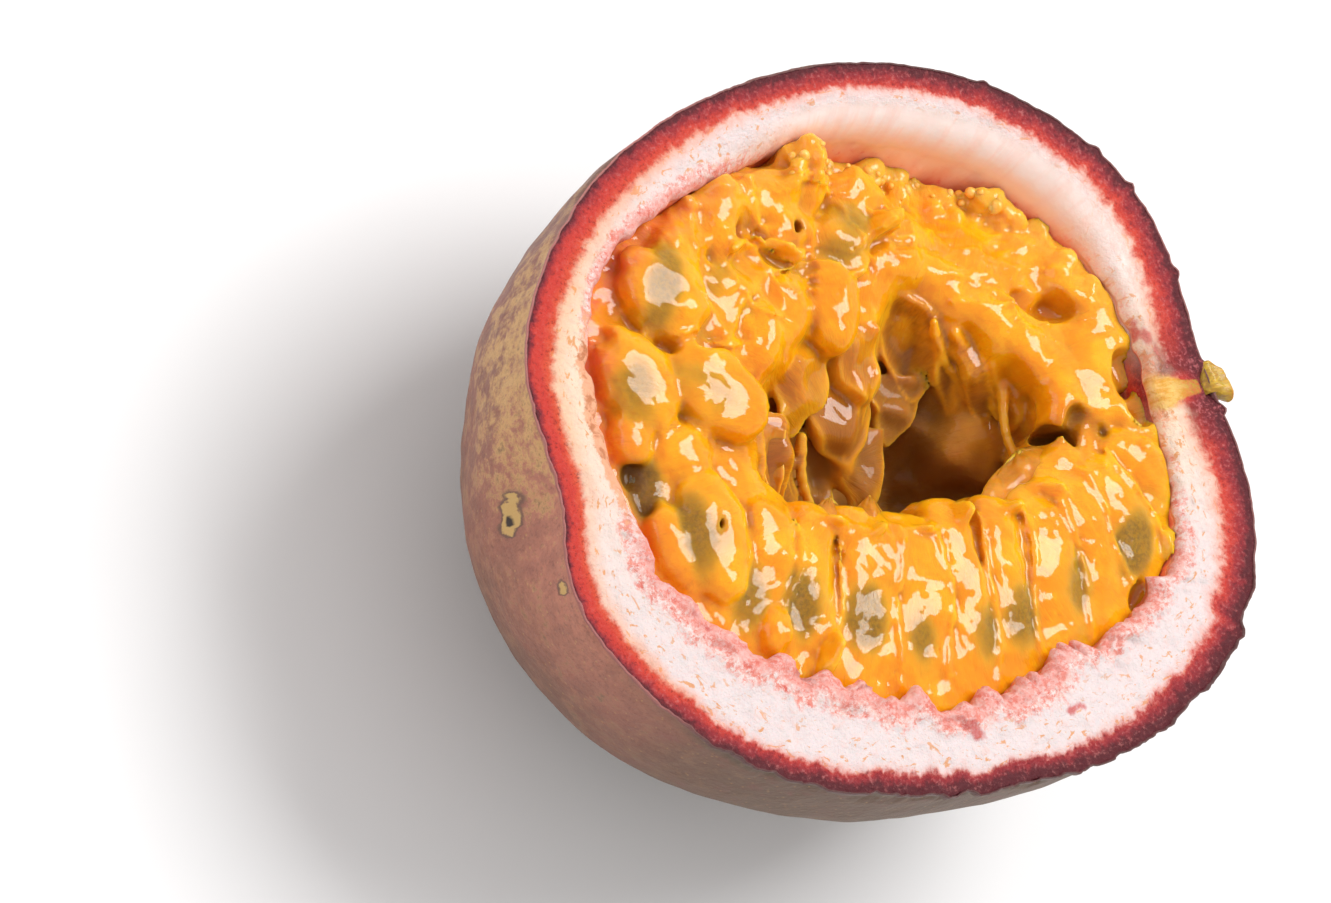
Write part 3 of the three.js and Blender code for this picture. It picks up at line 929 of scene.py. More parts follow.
class Blob:
    """Signed distance on a grid: negative inside. Shapes melt together where they meet."""

    def __init__(self, low, high, step):
        self.low = np.array(low, float)
        self.step = step
        self.shape = tuple(int(math.ceil(n)) + 1 for n in (np.array(high) - self.low) / step)
        self.field = np.full(self.shape, FAR, np.float32)

    def window(self, low, high):
        first = np.floor((np.array(low) - self.low) / self.step).astype(int)
        last = np.ceil((np.array(high) - self.low) / self.step).astype(int) + 1
        first = np.clip(first, 0, self.shape)
        last = np.clip(last, 0, self.shape)
        cut = tuple(slice(a, b) for a, b in zip(first, last))
        axes = [self.low[i] + self.step * np.arange(first[i], last[i]) for i in range(3)]
        return cut, np.stack(np.meshgrid(*axes, indexing="ij"), -1)

    def everywhere(self):
        return self.window(self.low, self.low + self.step * np.array(self.shape))

    def around(self, places, reach):
        """The grid's window that holds some places and a reach round them."""
        places = np.reshape(places, (-1, 3))
        return self.window(places.min(0) - reach, places.max(0) + reach)

    def melt(self, cut, distance, blend, side=1):
        """Joins a shape, rounding the edge where the two meet."""
        old = side * self.field[cut]
        mix = np.clip(0.5 + 0.5 * (old - distance) / blend, 0, 1)
        self.field[cut] = side * (old + (distance - old) * mix - blend * mix * (1 - mix))

    def carve(self, cut, distance, blend):
        """Takes a shape away, with a rounded edge."""
        self.melt(cut, distance, blend, -1)

    def top(self, x, y):
        """Height of the surface over a place in the plan."""
        i, j = np.round((np.array([x, y]) - self.low[:2]) / self.step).astype(int)
        solid = np.nonzero(self.field[i, j] < 0)[0]
        if not len(solid):
            return self.low[2]
        k = solid[-1]
        here = self.field[i, j, k]
        above = self.field[i, j, min(k + 1, self.shape[2] - 1)]
        return self.low[2] + self.step * (k + here / min(here - above, -1e-6))

    def at(self, points):
        """The field at any points, and its slope."""
        place = (points - self.low) / self.step
        place = np.clip(place, 0, np.array(self.shape) - 1.001)
        cell = place.astype(int)
        part = place - cell
        value = np.zeros(len(points))
        slope = np.zeros((len(points), 3))
        for corner in np.ndindex(2, 2, 2):
            sample = self.field[tuple((cell + corner).T)]
            weight = np.where(corner, part, 1 - part)
            value += sample * weight.prod(1)
            for axis in range(3):
                others = weight[:, [a for a in range(3) if a != axis]].prod(1)
                slope[:, axis] += sample * others * (1 if corner[axis] else -1)
        return value, slope / self.step

    def crossings(self, cells):
        """One point in each cell, in the middle of where its edges cross the surface."""
        corners = list(np.ndindex(2, 2, 2))
        values = np.stack([self.field[tuple((cells + c).T)] for c in corners], 1)
        summed = np.zeros((len(cells), 3))
        hits = np.zeros(len(cells))
        for i, a in enumerate(corners):
            for j, b in enumerate(corners):
                step = np.array(b) - np.array(a)
                if step.min() < 0 or step.sum() != 1:
                    continue
                crosses = (values[:, i] < 0) != (values[:, j] < 0)
                span = values[:, i] - values[:, j]
                t = np.where(crosses, values[:, i] / np.where(span == 0, 1, span), 0)
                summed += crosses[:, None] * (np.array(a) + t[:, None] * step)
                hits += crosses
        return self.low + self.step * (cells + summed / hits[:, None])

    def quads(self, inside, number):
        """A quad round each grid edge that goes through the surface, facing outwards."""
        quads = []
        for axis in range(3):
            near = [slice(None)] * 3
            far = [slice(None)] * 3
            near[axis], far[axis] = slice(0, -1), slice(1, None)
            one, two = inside[tuple(near)], inside[tuple(far)]
            u, v = [a for a in range(3) if a != axis]
            where = np.argwhere(one != two)
            okay = np.ones(len(where), bool)
            for a in (u, v):
                okay &= (where[:, a] > 0) & (where[:, a] < self.shape[a] - 1)
            where = where[okay]
            start_inside = one[tuple(where.T)]
            ring = []
            for du, dv in ((-1, -1), (0, -1), (0, 0), (-1, 0)):
                cell = where.copy()
                cell[:, u] += du
                cell[:, v] += dv
                ring.append(number[tuple(cell.T)])
            quad = np.stack(ring, 1)
            flip = start_inside if axis == 1 else ~start_inside
            quad[flip] = quad[flip][:, ::-1]
            quads.append(quad)
        return np.concatenate(quads)

    def surface(self):
        """Points and quads of the surface, with faces pointing outwards."""
        inside = self.field < 0
        nx, ny, nz = self.shape
        corners = np.ndindex(2, 2, 2)
        views = [inside[a : nx - 1 + a, b : ny - 1 + b, c : nz - 1 + c] for a, b, c in corners]
        total = sum(v.astype(np.uint8) for v in views)
        active = (total > 0) & (total < 8)
        cells = np.argwhere(active)
        number = np.full(active.shape, -1, np.int64)
        number[active] = np.arange(len(cells))
        points = self.crossings(cells)
        for _ in range(2):
            value, slope = self.at(points)
            size = np.maximum((slope**2).sum(1), 0.05)
            move = -slope * (value / size)[:, None]
            points += np.clip(move, -0.3 * self.step, 0.3 * self.step)
        return points, self.quads(inside, number)


def below_cut(places):
    """Points from places in the cut face, each with its depth."""
    return [np.array([x, y, CUT_Z - depth]) for x, y, depth in places]


def rod(points, a, b, radius):
    """Distance to a straight rod with round ends."""
    a, b = np.asarray(a, float), np.asarray(b, float)
    away = points - a
    line = b - a
    along = np.clip(away @ line / (line @ line), 0, 1)
    return size_of(away - along[..., None] * line) - radius


def ellipsoid(points, centre, axes, radii, flat=2.0):
    """Distance to an ellipsoid whose axes are the rows of a matrix. A higher flat squares it."""
    local = np.abs((points - np.asarray(centre)) @ np.asarray(axes).T) / radii
    plan = np.hypot(local[..., 0], local[..., 1])
    norm = (plan**flat + local[..., 2] ** flat) ** (1 / flat)
    return (norm - 1) * min(radii)


# ---- Pulp ----

# How far the edge of the pulp lies below the cut, round the peel's inner wall.
EDGE_LEAST = 0.5
EDGE_SUNK = 5.2
EDGE_ANGLE = 1.0
EDGE_WIDTHS = (0.5, 0.73)  # towards the stem and away from it

# The hollow: its mouth, as points round its middle, and the middle of its floor.
MOUTH_EDGE = [
    (14.8, 0.2), (14.6, 3.6), (12.8, 7.2), (9.8, 10.9), (6.0, 12.8), (2.6, 10.6), (-1.2, 9.4),
    (-7.0, 8.4), (-10.6, 4.6), (-12.2, 1.0), (-11.0, -2.8), (-6.9, -5.8), (-1.6, -6.6),
    (4.2, -6.4), (9.4, -6.4), (14.0, -4.0),
]
MOUTH_MIDDLE = (1.0, 1.0)
FLOOR = (6.5, -2.0)
FOLD_DEPTH = 0.7

# Long sacs from the peel to the hollow: wall end, hollow end, half the width, flatness.
LONG_SACS = [
    ((-16.8, -12.0), (-11.4, -3.6), 2.3, 2.6),
    ((-12.2, -15.2), (-8.6, -4.4), 1.9, 2.4),
    ((-7.9, -17.4), (-4.2, -5.4), 2.7, 3.0),
    ((-3.5, -18.8), (-0.2, -6.4), 2.5, 3.6),
    ((0.9, -19.0), (3.6, -5.8), 1.7, 3.0),
    ((5.0, -18.8), (7.6, -6.0), 2.0, 2.3),
    ((9.9, -18.0), (11.6, -5.8), 2.6, 2.6),
    ((15.3, -15.6), (14.4, -4.4), 2.1, 3.0),
    ((20.2, -13.4), (17.2, -3.8), 2.7, 2.8),
    ((24.0, -9.0), (20.4, -2.0), 2.0, 2.6),
    ((24.6, -4.4), (21.2, 0.4), 1.3, 2.2),
    ((23.4, 7.6), (18.9, -1.2), 2.5, 2.6),
    ((19.4, 5.8), (15.8, -1.6), 1.7, 2.4),
]
SAC_TALL = 1.6  # half their height
# The line along their tops: share of the way from the wall, height over the cut.
SAC_PROFILE = [
    (0.04, -1.7), (0.2, -1.0), (0.42, -0.55), (0.66, -0.25), (0.86, -0.45), (0.98, -1.3),
    (1.02, -3.0), (1.0, -5.4),
]

# Sacs that lie face up and lobes: middle, half length, half width, turn in degrees, top,
# flatness, how softly it melts in.
LOBES = [
    ((-15.8, 12.5), 4.0, 3.4, 96, 0.3, 2.6, 0.3),
    ((-19.8, 6.4), 3.8, 3.3, 80, 0.1, 2.8, 0.3),
    ((-14.0, 4.9), 4.4, 3.0, -38, 0.5, 3.2, 0.25),
    ((-17.6, -5.0), 5.0, 3.0, 82, 0.3, 2.4, 0.3),
    ((-20.8, -5.4), 3.8, 2.0, 98, -0.4, 2.4, 0.3),
    ((-17.8, 1.4), 2.8, 2.4, 20, -0.6, 2.2, 0.6),
    ((-8.8, 17.4), 3.0, 2.2, 66, -0.4, 2.4, 0.6),
    ((-12.8, 15.8), 2.6, 2.2, 20, -0.8, 2.0, 0.9),
    ((-14.9, -12.2), 1.9, 1.1, 70, -0.35, 2.2, 0.5),
    ((0.2, 19.8), 2.8, 2.1, 84, -0.6, 2.3, 0.8),
    ((-3.6, 18.9), 2.8, 2.2, 20, -0.7, 2.0, 0.9),
    ((-6.0, 19.0), 2.4, 2.0, 30, -0.8, 2.0, 0.9),
    ((-11.4, 17.8), 1.8, 1.5, 60, -0.9, 2.0, 0.8),
    ((-21.9, 2.6), 2.2, 1.5, 85, -0.5, 2.4, 0.6),
    ((-2.6, 16.6), 3.0, 2.4, 10, -0.9, 2.0, 0.8),
    ((2.6, 15.2), 2.9, 2.4, 60, -0.4, 2.6, 0.6),
    ((-0.6, 10.2), 3.4, 2.3, 74, -0.2, 2.6, 0.4),
    ((-4.9, 10.6), 3.0, 2.2, 60, -0.7, 2.2, 0.6),
    ((-8.0, 8.8), 3.0, 2.0, 70, -0.9, 2.2, 0.5),
    ((-9.6, 12.8), 2.8, 2.0, 60, -1.1, 2.0, 0.8),
    ((6.6, 13.4), 3.2, 1.5, -24, -0.9, 2.4, 0.5),
    ((5.2, 18.4), 3.2, 2.0, -14, -0.9, 2.2, 0.6),
    ((8.8, 15.2), 3.2, 2.2, -24, -1.2, 2.2, 0.8),
    ((11.2, 11.6), 2.8, 1.8, -38, -1.2, 2.2, 0.5),
    ((13.4, 12.4), 3.0, 2.2, -30, -1.8, 2.2, 0.8),
    ((14.2, 8.0), 2.9, 1.7, -50, -1.5, 2.4, 0.4),
    ((16.5, 4.8), 2.9, 1.8, -60, -1.3, 2.8, 0.4),
    ((17.2, 11.4), 2.6, 1.7, -30, -2.4, 2.2, 0.5),
    ((21.5, 8.6), 2.4, 1.9, -50, -1.4, 2.2, 0.5),
    ((15.4, -3.6), 2.2, 1.4, 10, -1.2, 2.2, 0.4),
    ((22.6, -11.0), 1.5, 1.3, 80, -0.6, 2.2, 0.3),
]

CALM_SACS = 5  # the first of these sacs have smooth tight skins
KEPT_SHARE = 0.62  # of the sacs' faces, once those out of sight are thinned

# The core: step of its grid, and how much lower, wider in its hollow and smaller it is.
CORE_STEP = 0.8
CORE_LOWER = 3.4
CORE_GROW = 2.0
CORE_INSET = 0.35

# Folds on the far wall of the hollow: left and right top corner and tip, each with its depth,
# bulge towards the open side, how amber it is, darker in their middles; above 1 it is painted shade.
FOLDS = [
    ((4.1, 12.9, 4.4), (9.4, 9.9, 4.4), (9.2, 3.9, 8.8), -1.5, 0.8),
    ((-0.6, 9.1, 3.8), (3.8, 8.9, 4.2), (2.2, 2.4, 7.6), 1.3, 0.7),
    ((-6.8, 9.2, 3.8), (-0.4, 7.8, 4.2), (-4.4, 2.4, 6.6), 1.2, 0.5),
    ((-3.6, 5.8, 5.6), (2.8, 4.8, 6.2), (1.0, -0.2, 9.2), 1.1, 1.0),
    ((-9.8, 4.0, 3.6), (-5.8, 3.2, 4.2), (-8.2, -3.6, 7.2), 0.8, 1.1),
    ((0.6, 2.9, 7.8), (5.2, 2.2, 8.2), (2.4, -3.6, 10.6), 0.7, 1.5),
    ((-5.4, 3.7, 6.6), (1.2, 1.9, 8.6), (-2.6, -4.6, 10.4), -0.9, 1.7),
    ((9.2, 9.8, 4.6), (12.3, 8.4, 4.6), (12.2, 3.2, 9.0), 0.6, 1.0),
    ((10.6, 8.2, 4.6), (14.5, 6.0, 4.6), (14.8, 1.8, 8.6), 1.0, 0.8),
    ((13.8, 8.0, 3.8), (17.0, 5.2, 3.6), (15.8, 0.6, 7.6), 0.9, 0.5),
    ((-12.6, 3.0, 2.6), (-9.0, 2.6, 3.1), (-11.2, -2.8, 5.6), 0.5, 0.7),
    ((5.2, 6.4, 8.4), (10.8, 5.8, 8.4), (7.2, 1.6, 11.0), 0.9, 1.4),
    ((-8.6, 0.8, 6.4), (-4.0, 0.8, 7.2), (-6.8, -4.8, 9.2), 0.5, 1.6),
]
FOLD_HALF_THICK = 0.29

# Strings of skin in the hollow: from one end to the other, each with its depth, and radius.
STRINGS = [
    ((-3.4, 2.2, 6.6), (-3.2, -4.8, 8.2), 0.42),
    ((-7.4, 2.4, 5.0), (-7.2, -4.6, 6.8), 0.35),
    ((9.6, 8.6, 4.2), (12.6, 3.6, 7.2), 0.3),
    ((11.4, 7.6, 4.2), (15.2, 1.6, 6.8), 0.34),
    ((14.8, 3.6, 5.2), (14.4, -3.2, 5.6), 0.4),
]

# The bulge deep in the hollow and the ridges over it.
BULGE = ((15.2, 0.9, 11.2), 3.9)
RIDGES = [
    ((10.4, 3.6, 11.4), (12.6, 0.6, 9.9)),
    ((12.6, 0.6, 9.9), (17.0, 2.1, 9.0)),
    ((12.6, 0.6, 9.9), (13.4, -3.2, 12.0)),
]
RIDGE_RADIUS = 0.34

# Thin skins between neighbouring sacs: from one end to the other.
SEAMS = [
    ((-10.2, -4.8), (-14.4, -13.4)),
    ((-6.4, -5.6), (-10.6, -14.8)),
    ((-2.1, -6.4), (-5.6, -17.4)),
    ((1.6, -6.6), (-1.0, -18.6)),
    ((5.7, -6.2), (3.4, -18.4)),
    ((9.6, -6.2), (7.6, -18.0)),
    ((13.2, -5.2), (13.2, -16.6)),
    ((15.8, -4.4), (18.0, -14.0)),
    ((18.9, -3.2), (22.4, -11.6)),
    ((-12.0, 8.4), (-6.6, 13.4)),
    ((-6.0, 13.6), (0.4, 13.4)),
    ((4.6, 14.4), (10.8, 12.6)),
    ((10.8, 9.4), (17.6, 8.6)),
    ((-16.8, 9.4), (-10.6, 8.6)),
]

# Thin crests at the near edge of the hollow: middle, half length, height over the cut, turn.
CRESTS = [
    ((0.4, 20.7), 1.4, 0.3, 78),
    ((-1.8, 19.6), 1.2, 0.1, 40),
    ((-9.0, 15.0), 1.5, 0.0, 20),
    ((-4.4, 14.6), 1.6, -0.1, 150),
    ((5.6, 15.6), 1.6, -0.4, 20),
    ((-4.2, -6.6), 1.1, 0.75, 25),
    ((3.7, -6.4), 1.0, 0.95, 60),
    ((0.2, -7.0), 1.7, 0.15, 170),
    ((-7.4, -5.4), 1.3, 0.2, 160),
    ((-10.9, -14.3), 1.5, 0.9, 60),
    ((8.8, -6.4), 1.2, 0.1, 10),
    ((12.9, -5.6), 1.2, 0.3, 150),
    ((17.6, -4.6), 1.2, 0.2, 20),
]
CREST_TALL = 1.9

# Pits and holes: middle, half length, half width, turn in degrees, depth, darkness of their painted
# shade, redness.
PITS = [
    ((-7.4, 16.2), 1.0, 0.65, 55, 1.5, 0.45, 1.0),
    ((-2.2, 16.3), 0.55, 0.4, 60, 1.2, 0.8, 0.3),
    ((18.8, 8.6), 2.2, 1.5, -20, 2.8, 0.5, 1.0),
    ((16.6, -1.5), 2.1, 1.1, -6, 3.2, 0.95, 0.0),
    ((23.4, 0.9), 2.9, 1.5, 80, 2.3, 0.3, 0.2),
    ((-21.9, -0.6), 1.5, 1.0, 80, 2.0, 1.3, 0.0),
    ((18.2, -14.3), 1.2, 0.6, 50, 2.0, 0.3, 1.0),
    ((-17.6, -4.4), 1.0, 0.5, 60, 1.7, 0.6, 0.1),
]

# Seeds: middle, half length and half width that show, turn in degrees, how clearly it shows.
SEEDS = [
    ((-16.2, 12.9), 2.8, 2.0, 60, 0.95),
    ((-20.8, 6.2), 2.3, 1.6, 85, 0.85),
    ((-15.0, 4.8), 2.8, 1.5, -38, 0.8),
    ((-18.9, -5.0), 2.5, 1.4, 84, 0.95),
    ((-21.2, -0.6), 2.3, 1.5, 85, 1.0),
    ((-16.0, -9.6), 2.3, 1.5, 66, 0.9),
    ((-11.6, -10.8), 2.6, 1.4, 70, 1.05),
    ((-6.9, -12.4), 2.6, 1.65, 75, 1.0),
    ((-2.6, -14.4), 2.2, 1.3, 80, 0.95),
    ((-4.4, -9.6), 1.6, 1.0, 70, 0.5),
    ((3.2, -14.9), 2.3, 1.3, 80, 0.95),
    ((6.8, -14.0), 2.5, 1.3, 80, 1.1),
    ((12.2, -12.6), 2.5, 1.6, 78, 0.85),
    ((11.6, -16.4), 1.4, 1.0, 78, 0.6),
    ((18.7, -10.4), 2.7, 1.7, 66, 1.05),
    ((22.4, -7.4), 1.8, 1.1, 62, 0.5),
    ((18.4, 2.4), 1.6, 1.2, 60, 0.4),
    ((2.6, 15.4), 2.4, 1.7, 40, 0.8),
    ((-13.2, 9.4), 1.5, 1.0, 60, 0.6),
    ((-10.5, 12.8), 1.5, 0.9, 30, 0.75),
    ((-9.0, 11.0), 1.2, 0.9, -30, 0.5),
    ((-4.4, 13.4), 2.0, 1.4, 20, 0.45),
    ((10.4, 13.4), 1.5, 1.1, 0, 0.4),
    ((9.4, 16.8), 1.5, 1.0, 30, 0.4),
]


def edge_drop(angle):
    away = (angle - EDGE_ANGLE + math.pi) % TURN - math.pi
    return EDGE_LEAST + EDGE_SUNK * hump(away, np.where(away < 0, *EDGE_WIDTHS))


def mouth_radius():
    """The hollow's radius round its middle at its mouth, smoothed, for 720 angles."""
    edge = np.array(MOUTH_EDGE) - MOUTH_MIDDLE
    angles = np.arctan2(edge[:, 1], edge[:, 0])
    order = np.argsort(angles)
    every = np.linspace(-math.pi, math.pi, 720, endpoint=False)
    radius = np.interp(every, angles[order], np.hypot(*edge.T)[order], period=TURN)
    window = np.hanning(51)
    padded = np.concatenate([radius[-25:], radius, radius[:25]])
    return every, np.convolve(padded, window / window.sum(), "valid")


def plan_axes(turn):
    """Rows: along, across and up, for something turned in the plan."""
    turn = math.radians(turn)
    return np.array(
        [[math.cos(turn), math.sin(turn), 0], [-math.sin(turn), math.cos(turn), 0], [0, 0, 1.0]]
    )


def sunk(place):
    """How far a sac or a pit lies below its usual height because the pulp's edge is sunk."""
    angle, _ = polar(np.array(place))
    return 0.45 * (0.8 * edge_drop(angle) - EDGE_LEAST)


def hollow_distance(points, depth_full, grow=0.0):
    """Distance to the open hollow, which leans towards its floor and has folds down its side."""
    depth = CUT_Z - points[..., 2]
    down = np.clip(depth / depth_full, -0.15, 1.3)
    x = points[..., 0] - (MOUTH_MIDDLE[0] + (FLOOR[0] - MOUTH_MIDDLE[0]) * down)
    y = points[..., 1] - (MOUTH_MIDDLE[1] + (FLOOR[1] - MOUTH_MIDDLE[1]) * down)
    angle = np.arctan2(y, x)
    every, radius = mouth_radius()
    edge = np.interp(angle, every, radius, period=TURN) + grow
    far = ease(-0.35, 0.95, np.sin(angle))
    edge = edge * (1 - 0.3 * far * ease(0, 0.8, down))
    fold = np.sin(7 * angle + 2.5 * down) + 0.7 * np.sin(12 * angle - 3.0 * down + 1.0)
    fold = fold + 0.5 * np.sin(19 * angle + 4.0 * down + 2.0)
    edge = edge + FOLD_DEPTH * fold * np.clip(down * 3, 0, 1)
    share = np.hypot(x, y) / edge
    norm = (share**2.2 + np.clip(down, 0, None) ** 2.4) ** (1 / 2.2)
    return (norm - 1) * 7.5


def cavity_distance(points, cavity_depth, inset):
    """Distance to the inner wall of the peel, or to a smaller shape inside it."""
    angle, out = polar(points)
    reach = out / (waves(CAVITY, angle) - inset)
    depth = np.clip(CUT_Z - points[..., 2], 0, None) / (cavity_depth - inset)
    norm = (reach**SECTION_POWER + depth**SECTION_POWER) ** (1 / SECTION_POWER)
    return (norm - 1) * 21.0


def top_height(points):
    """Height of the mass between the sacs."""
    angle, out = polar(points)
    drop = edge_drop(angle)
    out = np.clip(out / waves(CAVITY, angle), 0, 1)
    crown = 1 - ((out - 0.72) / 0.3) ** 2
    near = 0.55 * ease(-4, -8, points[..., 1])
    near = near + 1.3 * bell(angle, 0.2, 0.5) * ease(0.8, 0.95, out)
    return CUT_Z - 1.9 + near - drop * np.clip(out**2, 0.35, 1) + 0.6 * np.clip(crown, -1, 1)


def fill_core(blob, sizes, lower, grow):
    """Fills a blob with the mass between the sacs, made lower and its hollow larger."""
    cavity_depth = sizes.pole_depth - sizes.wall
    cut, points = blob.everywhere()
    top = points[..., 2] - top_height(points) + lower
    blob.field[cut] = np.maximum(cavity_distance(points, cavity_depth, 0.0), top)
    blob.carve(cut, hollow_distance(points, sizes.hollow_depth + grow, grow), 1.2)


def long_sac_path(start, end):
    """The middle line of a long sac: from the wall over a crest and down into the hollow."""
    start, end = np.array(start), np.array(end)
    wall = edge_drop(polar(start)[0]) - EDGE_LEAST
    knots = []
    for share, top in SAC_PROFILE:
        x, y = start + (end - start) * share
        knots.append((x, y, CUT_Z + top - SAC_TALL - wall * (1 - 0.62 * min(share, 1))))
    return np.array(knots)


def add_long_sac(blob, start, end, half_width, flat):
    """Melts in a long sac. Its section is a flattened round, squarer with a higher flatness."""
    knots = long_sac_path(start, end)
    cut, points = blob.around(knots, half_width + 0.8)
    line = np.array([end[0] - start[0], end[1] - start[1], 0])
    line /= np.linalg.norm(line)
    across = np.array([-line[1], line[0], 0])
    sway = 0.35 * np.sin(0.5 * (points @ line) + 1.7 * start[0])
    side = np.abs((points - knots[0]) @ across + sway) / half_width
    plan = np.stack([points @ line, points[..., 2]], -1)
    path = np.stack([knots @ line, knots[:, 2]], -1)
    scale = np.interp(np.arange(len(knots)), [0, 1, 3, 5, 7], [0.62, 0.92, 1.0, 0.95, 0.7])
    best = np.full(side.shape, FAR)
    for i in range(len(path) - 1):
        step = path[i + 1] - path[i]
        away = plan - path[i]
        t = np.clip(away @ step / (step @ step), 0, 1)
        size = scale[i] + (scale[i + 1] - scale[i]) * t
        off = size_of(away - t[..., None] * step) / SAC_TALL
        norm = (side**flat + off**flat) ** (1 / flat)
        best = np.minimum(best, (norm - size) * SAC_TALL)
    blob.melt(cut, best, 0.3)


def add_lobe(blob, middle, half_length, half_width, turn, top, flat, blend):
    """Melts in a rounded lobe that stands up to a height given from the cut."""
    tall = min(half_width, 2.0)
    centre = np.array([*middle, CUT_Z + top - sunk(middle) - tall])
    cut, points = blob.around(centre, half_length + 1.0)
    if points.size:
        radii = np.array([half_length, half_width, tall])
        blob.melt(cut, ellipsoid(points, centre, plan_axes(turn), radii, flat), blend)


def pit_place(middle, half_length, half_width, turn, depth):
    centre = np.array([*middle, CUT_Z - 0.8 - sunk(middle)])
    return centre, plan_axes(turn), np.array([half_length, half_width, depth])


def pit_distance(points, pit, seed):
    centre, axes, radii = pit_place(*pit)
    shape = ellipsoid(points, centre, axes, radii)
    flat = np.asarray(points).reshape(-1, 3)
    return shape + 0.3 * min(radii[1], 1) * ripples(flat, 3.6, 70 + seed).reshape(shape.shape)


def add_pit(blob, pit, seed):
    centre, _, radii = pit_place(*pit)
    cut, points = blob.around(centre, max(radii) + 1.0)
    blob.carve(cut, pit_distance(points, pit, seed), 0.3)


def add_crest(blob, middle, half_length, top, turn):
    """A thin pointed crest of torn skin."""
    centre = np.array([*middle, CUT_Z + top - CREST_TALL])
    axes = plan_axes(turn)
    cut, points = blob.around(centre, half_length + 2.5)
    local = np.abs((points - centre) @ axes.T)
    up = points[..., 2] - centre[2]
    slim = 1 - np.clip(up / CREST_TALL, 0, 1) ** 1.5
    shape = np.hypot(local[..., 0] / (half_length * slim + 0.25), local[..., 1] / (0.42 * slim + 0.16))
    distance = np.maximum((shape - 1) * 0.3, up - CREST_TALL)
    blob.melt(cut, np.maximum(distance, -up.clip(None, 0) - 1.5), 0.45)


def add_vesicles(blob, sizes):
    """Bubbles of juice that swell out of the sunk edge of the pulp."""
    rng = np.random.default_rng(25)
    for _ in range(sizes.vesicles):
        angle = np.array(1.0 + 0.5 * rng.normal())
        drop = edge_drop(angle)
        reach = float(waves(CAVITY, angle) * section(drop, sizes.pole_depth - sizes.wall))
        radius = rng.uniform(0.5, 1.05)
        out = reach - 0.3 - abs(rng.normal(0, 1.1))
        x, y = out * math.cos(angle), out * math.sin(angle)
        rise = rng.uniform(-0.6, -0.15) * radius
        centre = np.array([x, y, min(blob.top(x, y), CUT_Z) + rise])
        cut, points = blob.around(centre, radius + 1)
        blob.melt(cut, size_of(points - centre) - radius, 0.3)


def add_seam(blob, start, end):
    """The thin skin between two sacs, standing as a fine ridge."""
    start, end = np.array(start), np.array(end)
    across = np.array([end[1] - start[1], start[0] - end[0]])
    across = across / np.linalg.norm(across)
    knots = []
    for share in np.linspace(0, 1, 15):
        x, y = start + (end - start) * share + across * 0.3 * math.sin(7 * share + start[0])
        sides = [blob.top(x + k * across[0], y + k * across[1]) for k in (-0.9, -0.4, 0, 0.4, 0.9)]
        knots.append((x, y, 0.6 * max(sides) + 0.4 * sides[2] - 0.04))
    knots = np.array(knots)
    cut, points = blob.around(knots, 0.8)
    best = np.full(points.shape[:-1], FAR)
    for a, b in zip(knots[:-1], knots[1:]):
        best = np.minimum(best, rod(points, a, b, 0.17))
    blob.melt(cut, best, 0.3)


def fold_shape(points, left, right, tip, bulge, seed):
    """Distance to a cupped fold, 1 along its rim, and 1 well inside its outline."""
    left, right, tip = below_cut((left, right, tip))
    middle = 0.5 * (left + right)
    across = right - left
    width = np.linalg.norm(across) / 2
    across /= 2 * width
    down = tip - middle
    lean = down @ across
    down = down - lean * across
    long = np.linalg.norm(down)
    down /= long
    out = np.cross(across, down)
    out *= np.sign(out[2] - 0.5 * out[0])
    away = points - middle
    v = away @ down / long
    u = (away @ across - lean * v) / width
    part = np.clip(v, 0, 1)
    half = (1 - part**2.0) ** 0.75
    turn = np.random.default_rng(seed).uniform(0, TURN)
    height = bulge * (1 - np.clip(np.abs(u), 0, 1.2) ** 2) * np.sin(math.pi * np.clip(v, 0, 1.05) ** 0.8)
    height = height + 0.16 * np.sin(1.3 * math.pi * u + turn + 1.5 * v)
    flat = away.reshape(-1, 3)
    height = height + 0.22 * ripples(flat, 3.4, 90 + seed).reshape(u.shape)
    side = np.maximum((np.abs(u) - half) * width, (v - 1) * long)
    side = side + 0.3 * ripples(flat, 4.0, 110 + seed).reshape(u.shape)
    side = np.maximum(side, -v * long - 0.2)
    rim = hump(side + 0.25, 0.3) * ease(0.1, 0.35, v)
    body = ease(0, -1.6, side)
    slope = 2 * bulge * u * np.sin(math.pi * np.clip(v, 0, 1) ** 0.8) / width
    sheet = np.abs(away @ out - height) / np.sqrt(1 + slope**2) - FOLD_HALF_THICK * (1 + 0.7 * rim)
    both = np.maximum(sheet, side)
    close = np.clip(0.3 - np.abs(sheet - side), 0, 0.3)
    return both + close**2 / 1.2, rim, body


def add_fold(blob, left, right, tip, bulge, seed):
    cut, points = blob.around(below_cut((left, right, tip)), abs(bulge) + 1.6)
    blob.melt(cut, fold_shape(points, left, right, tip, bulge, seed)[0], 0.5)


def add_string(blob, a, b, radius):
    """A sagging string that gets thinner in its middle."""
    a, b = below_cut((a, b))
    for i in range(8):
        s, t = i / 8, (i + 1) / 8
        sag = [np.array([0.3 * math.sin(5 * k + a[0]), 0, -1.2 * k * (1 - k)]) for k in (s, t)]
        ends = [a + (b - a) * s + sag[0], a + (b - a) * t + sag[1]]
        cut, points = blob.around(ends, 1)
        blob.melt(cut, rod(points, *ends, radius * (1 - 1.2 * s * (1 - s))), 0.4)


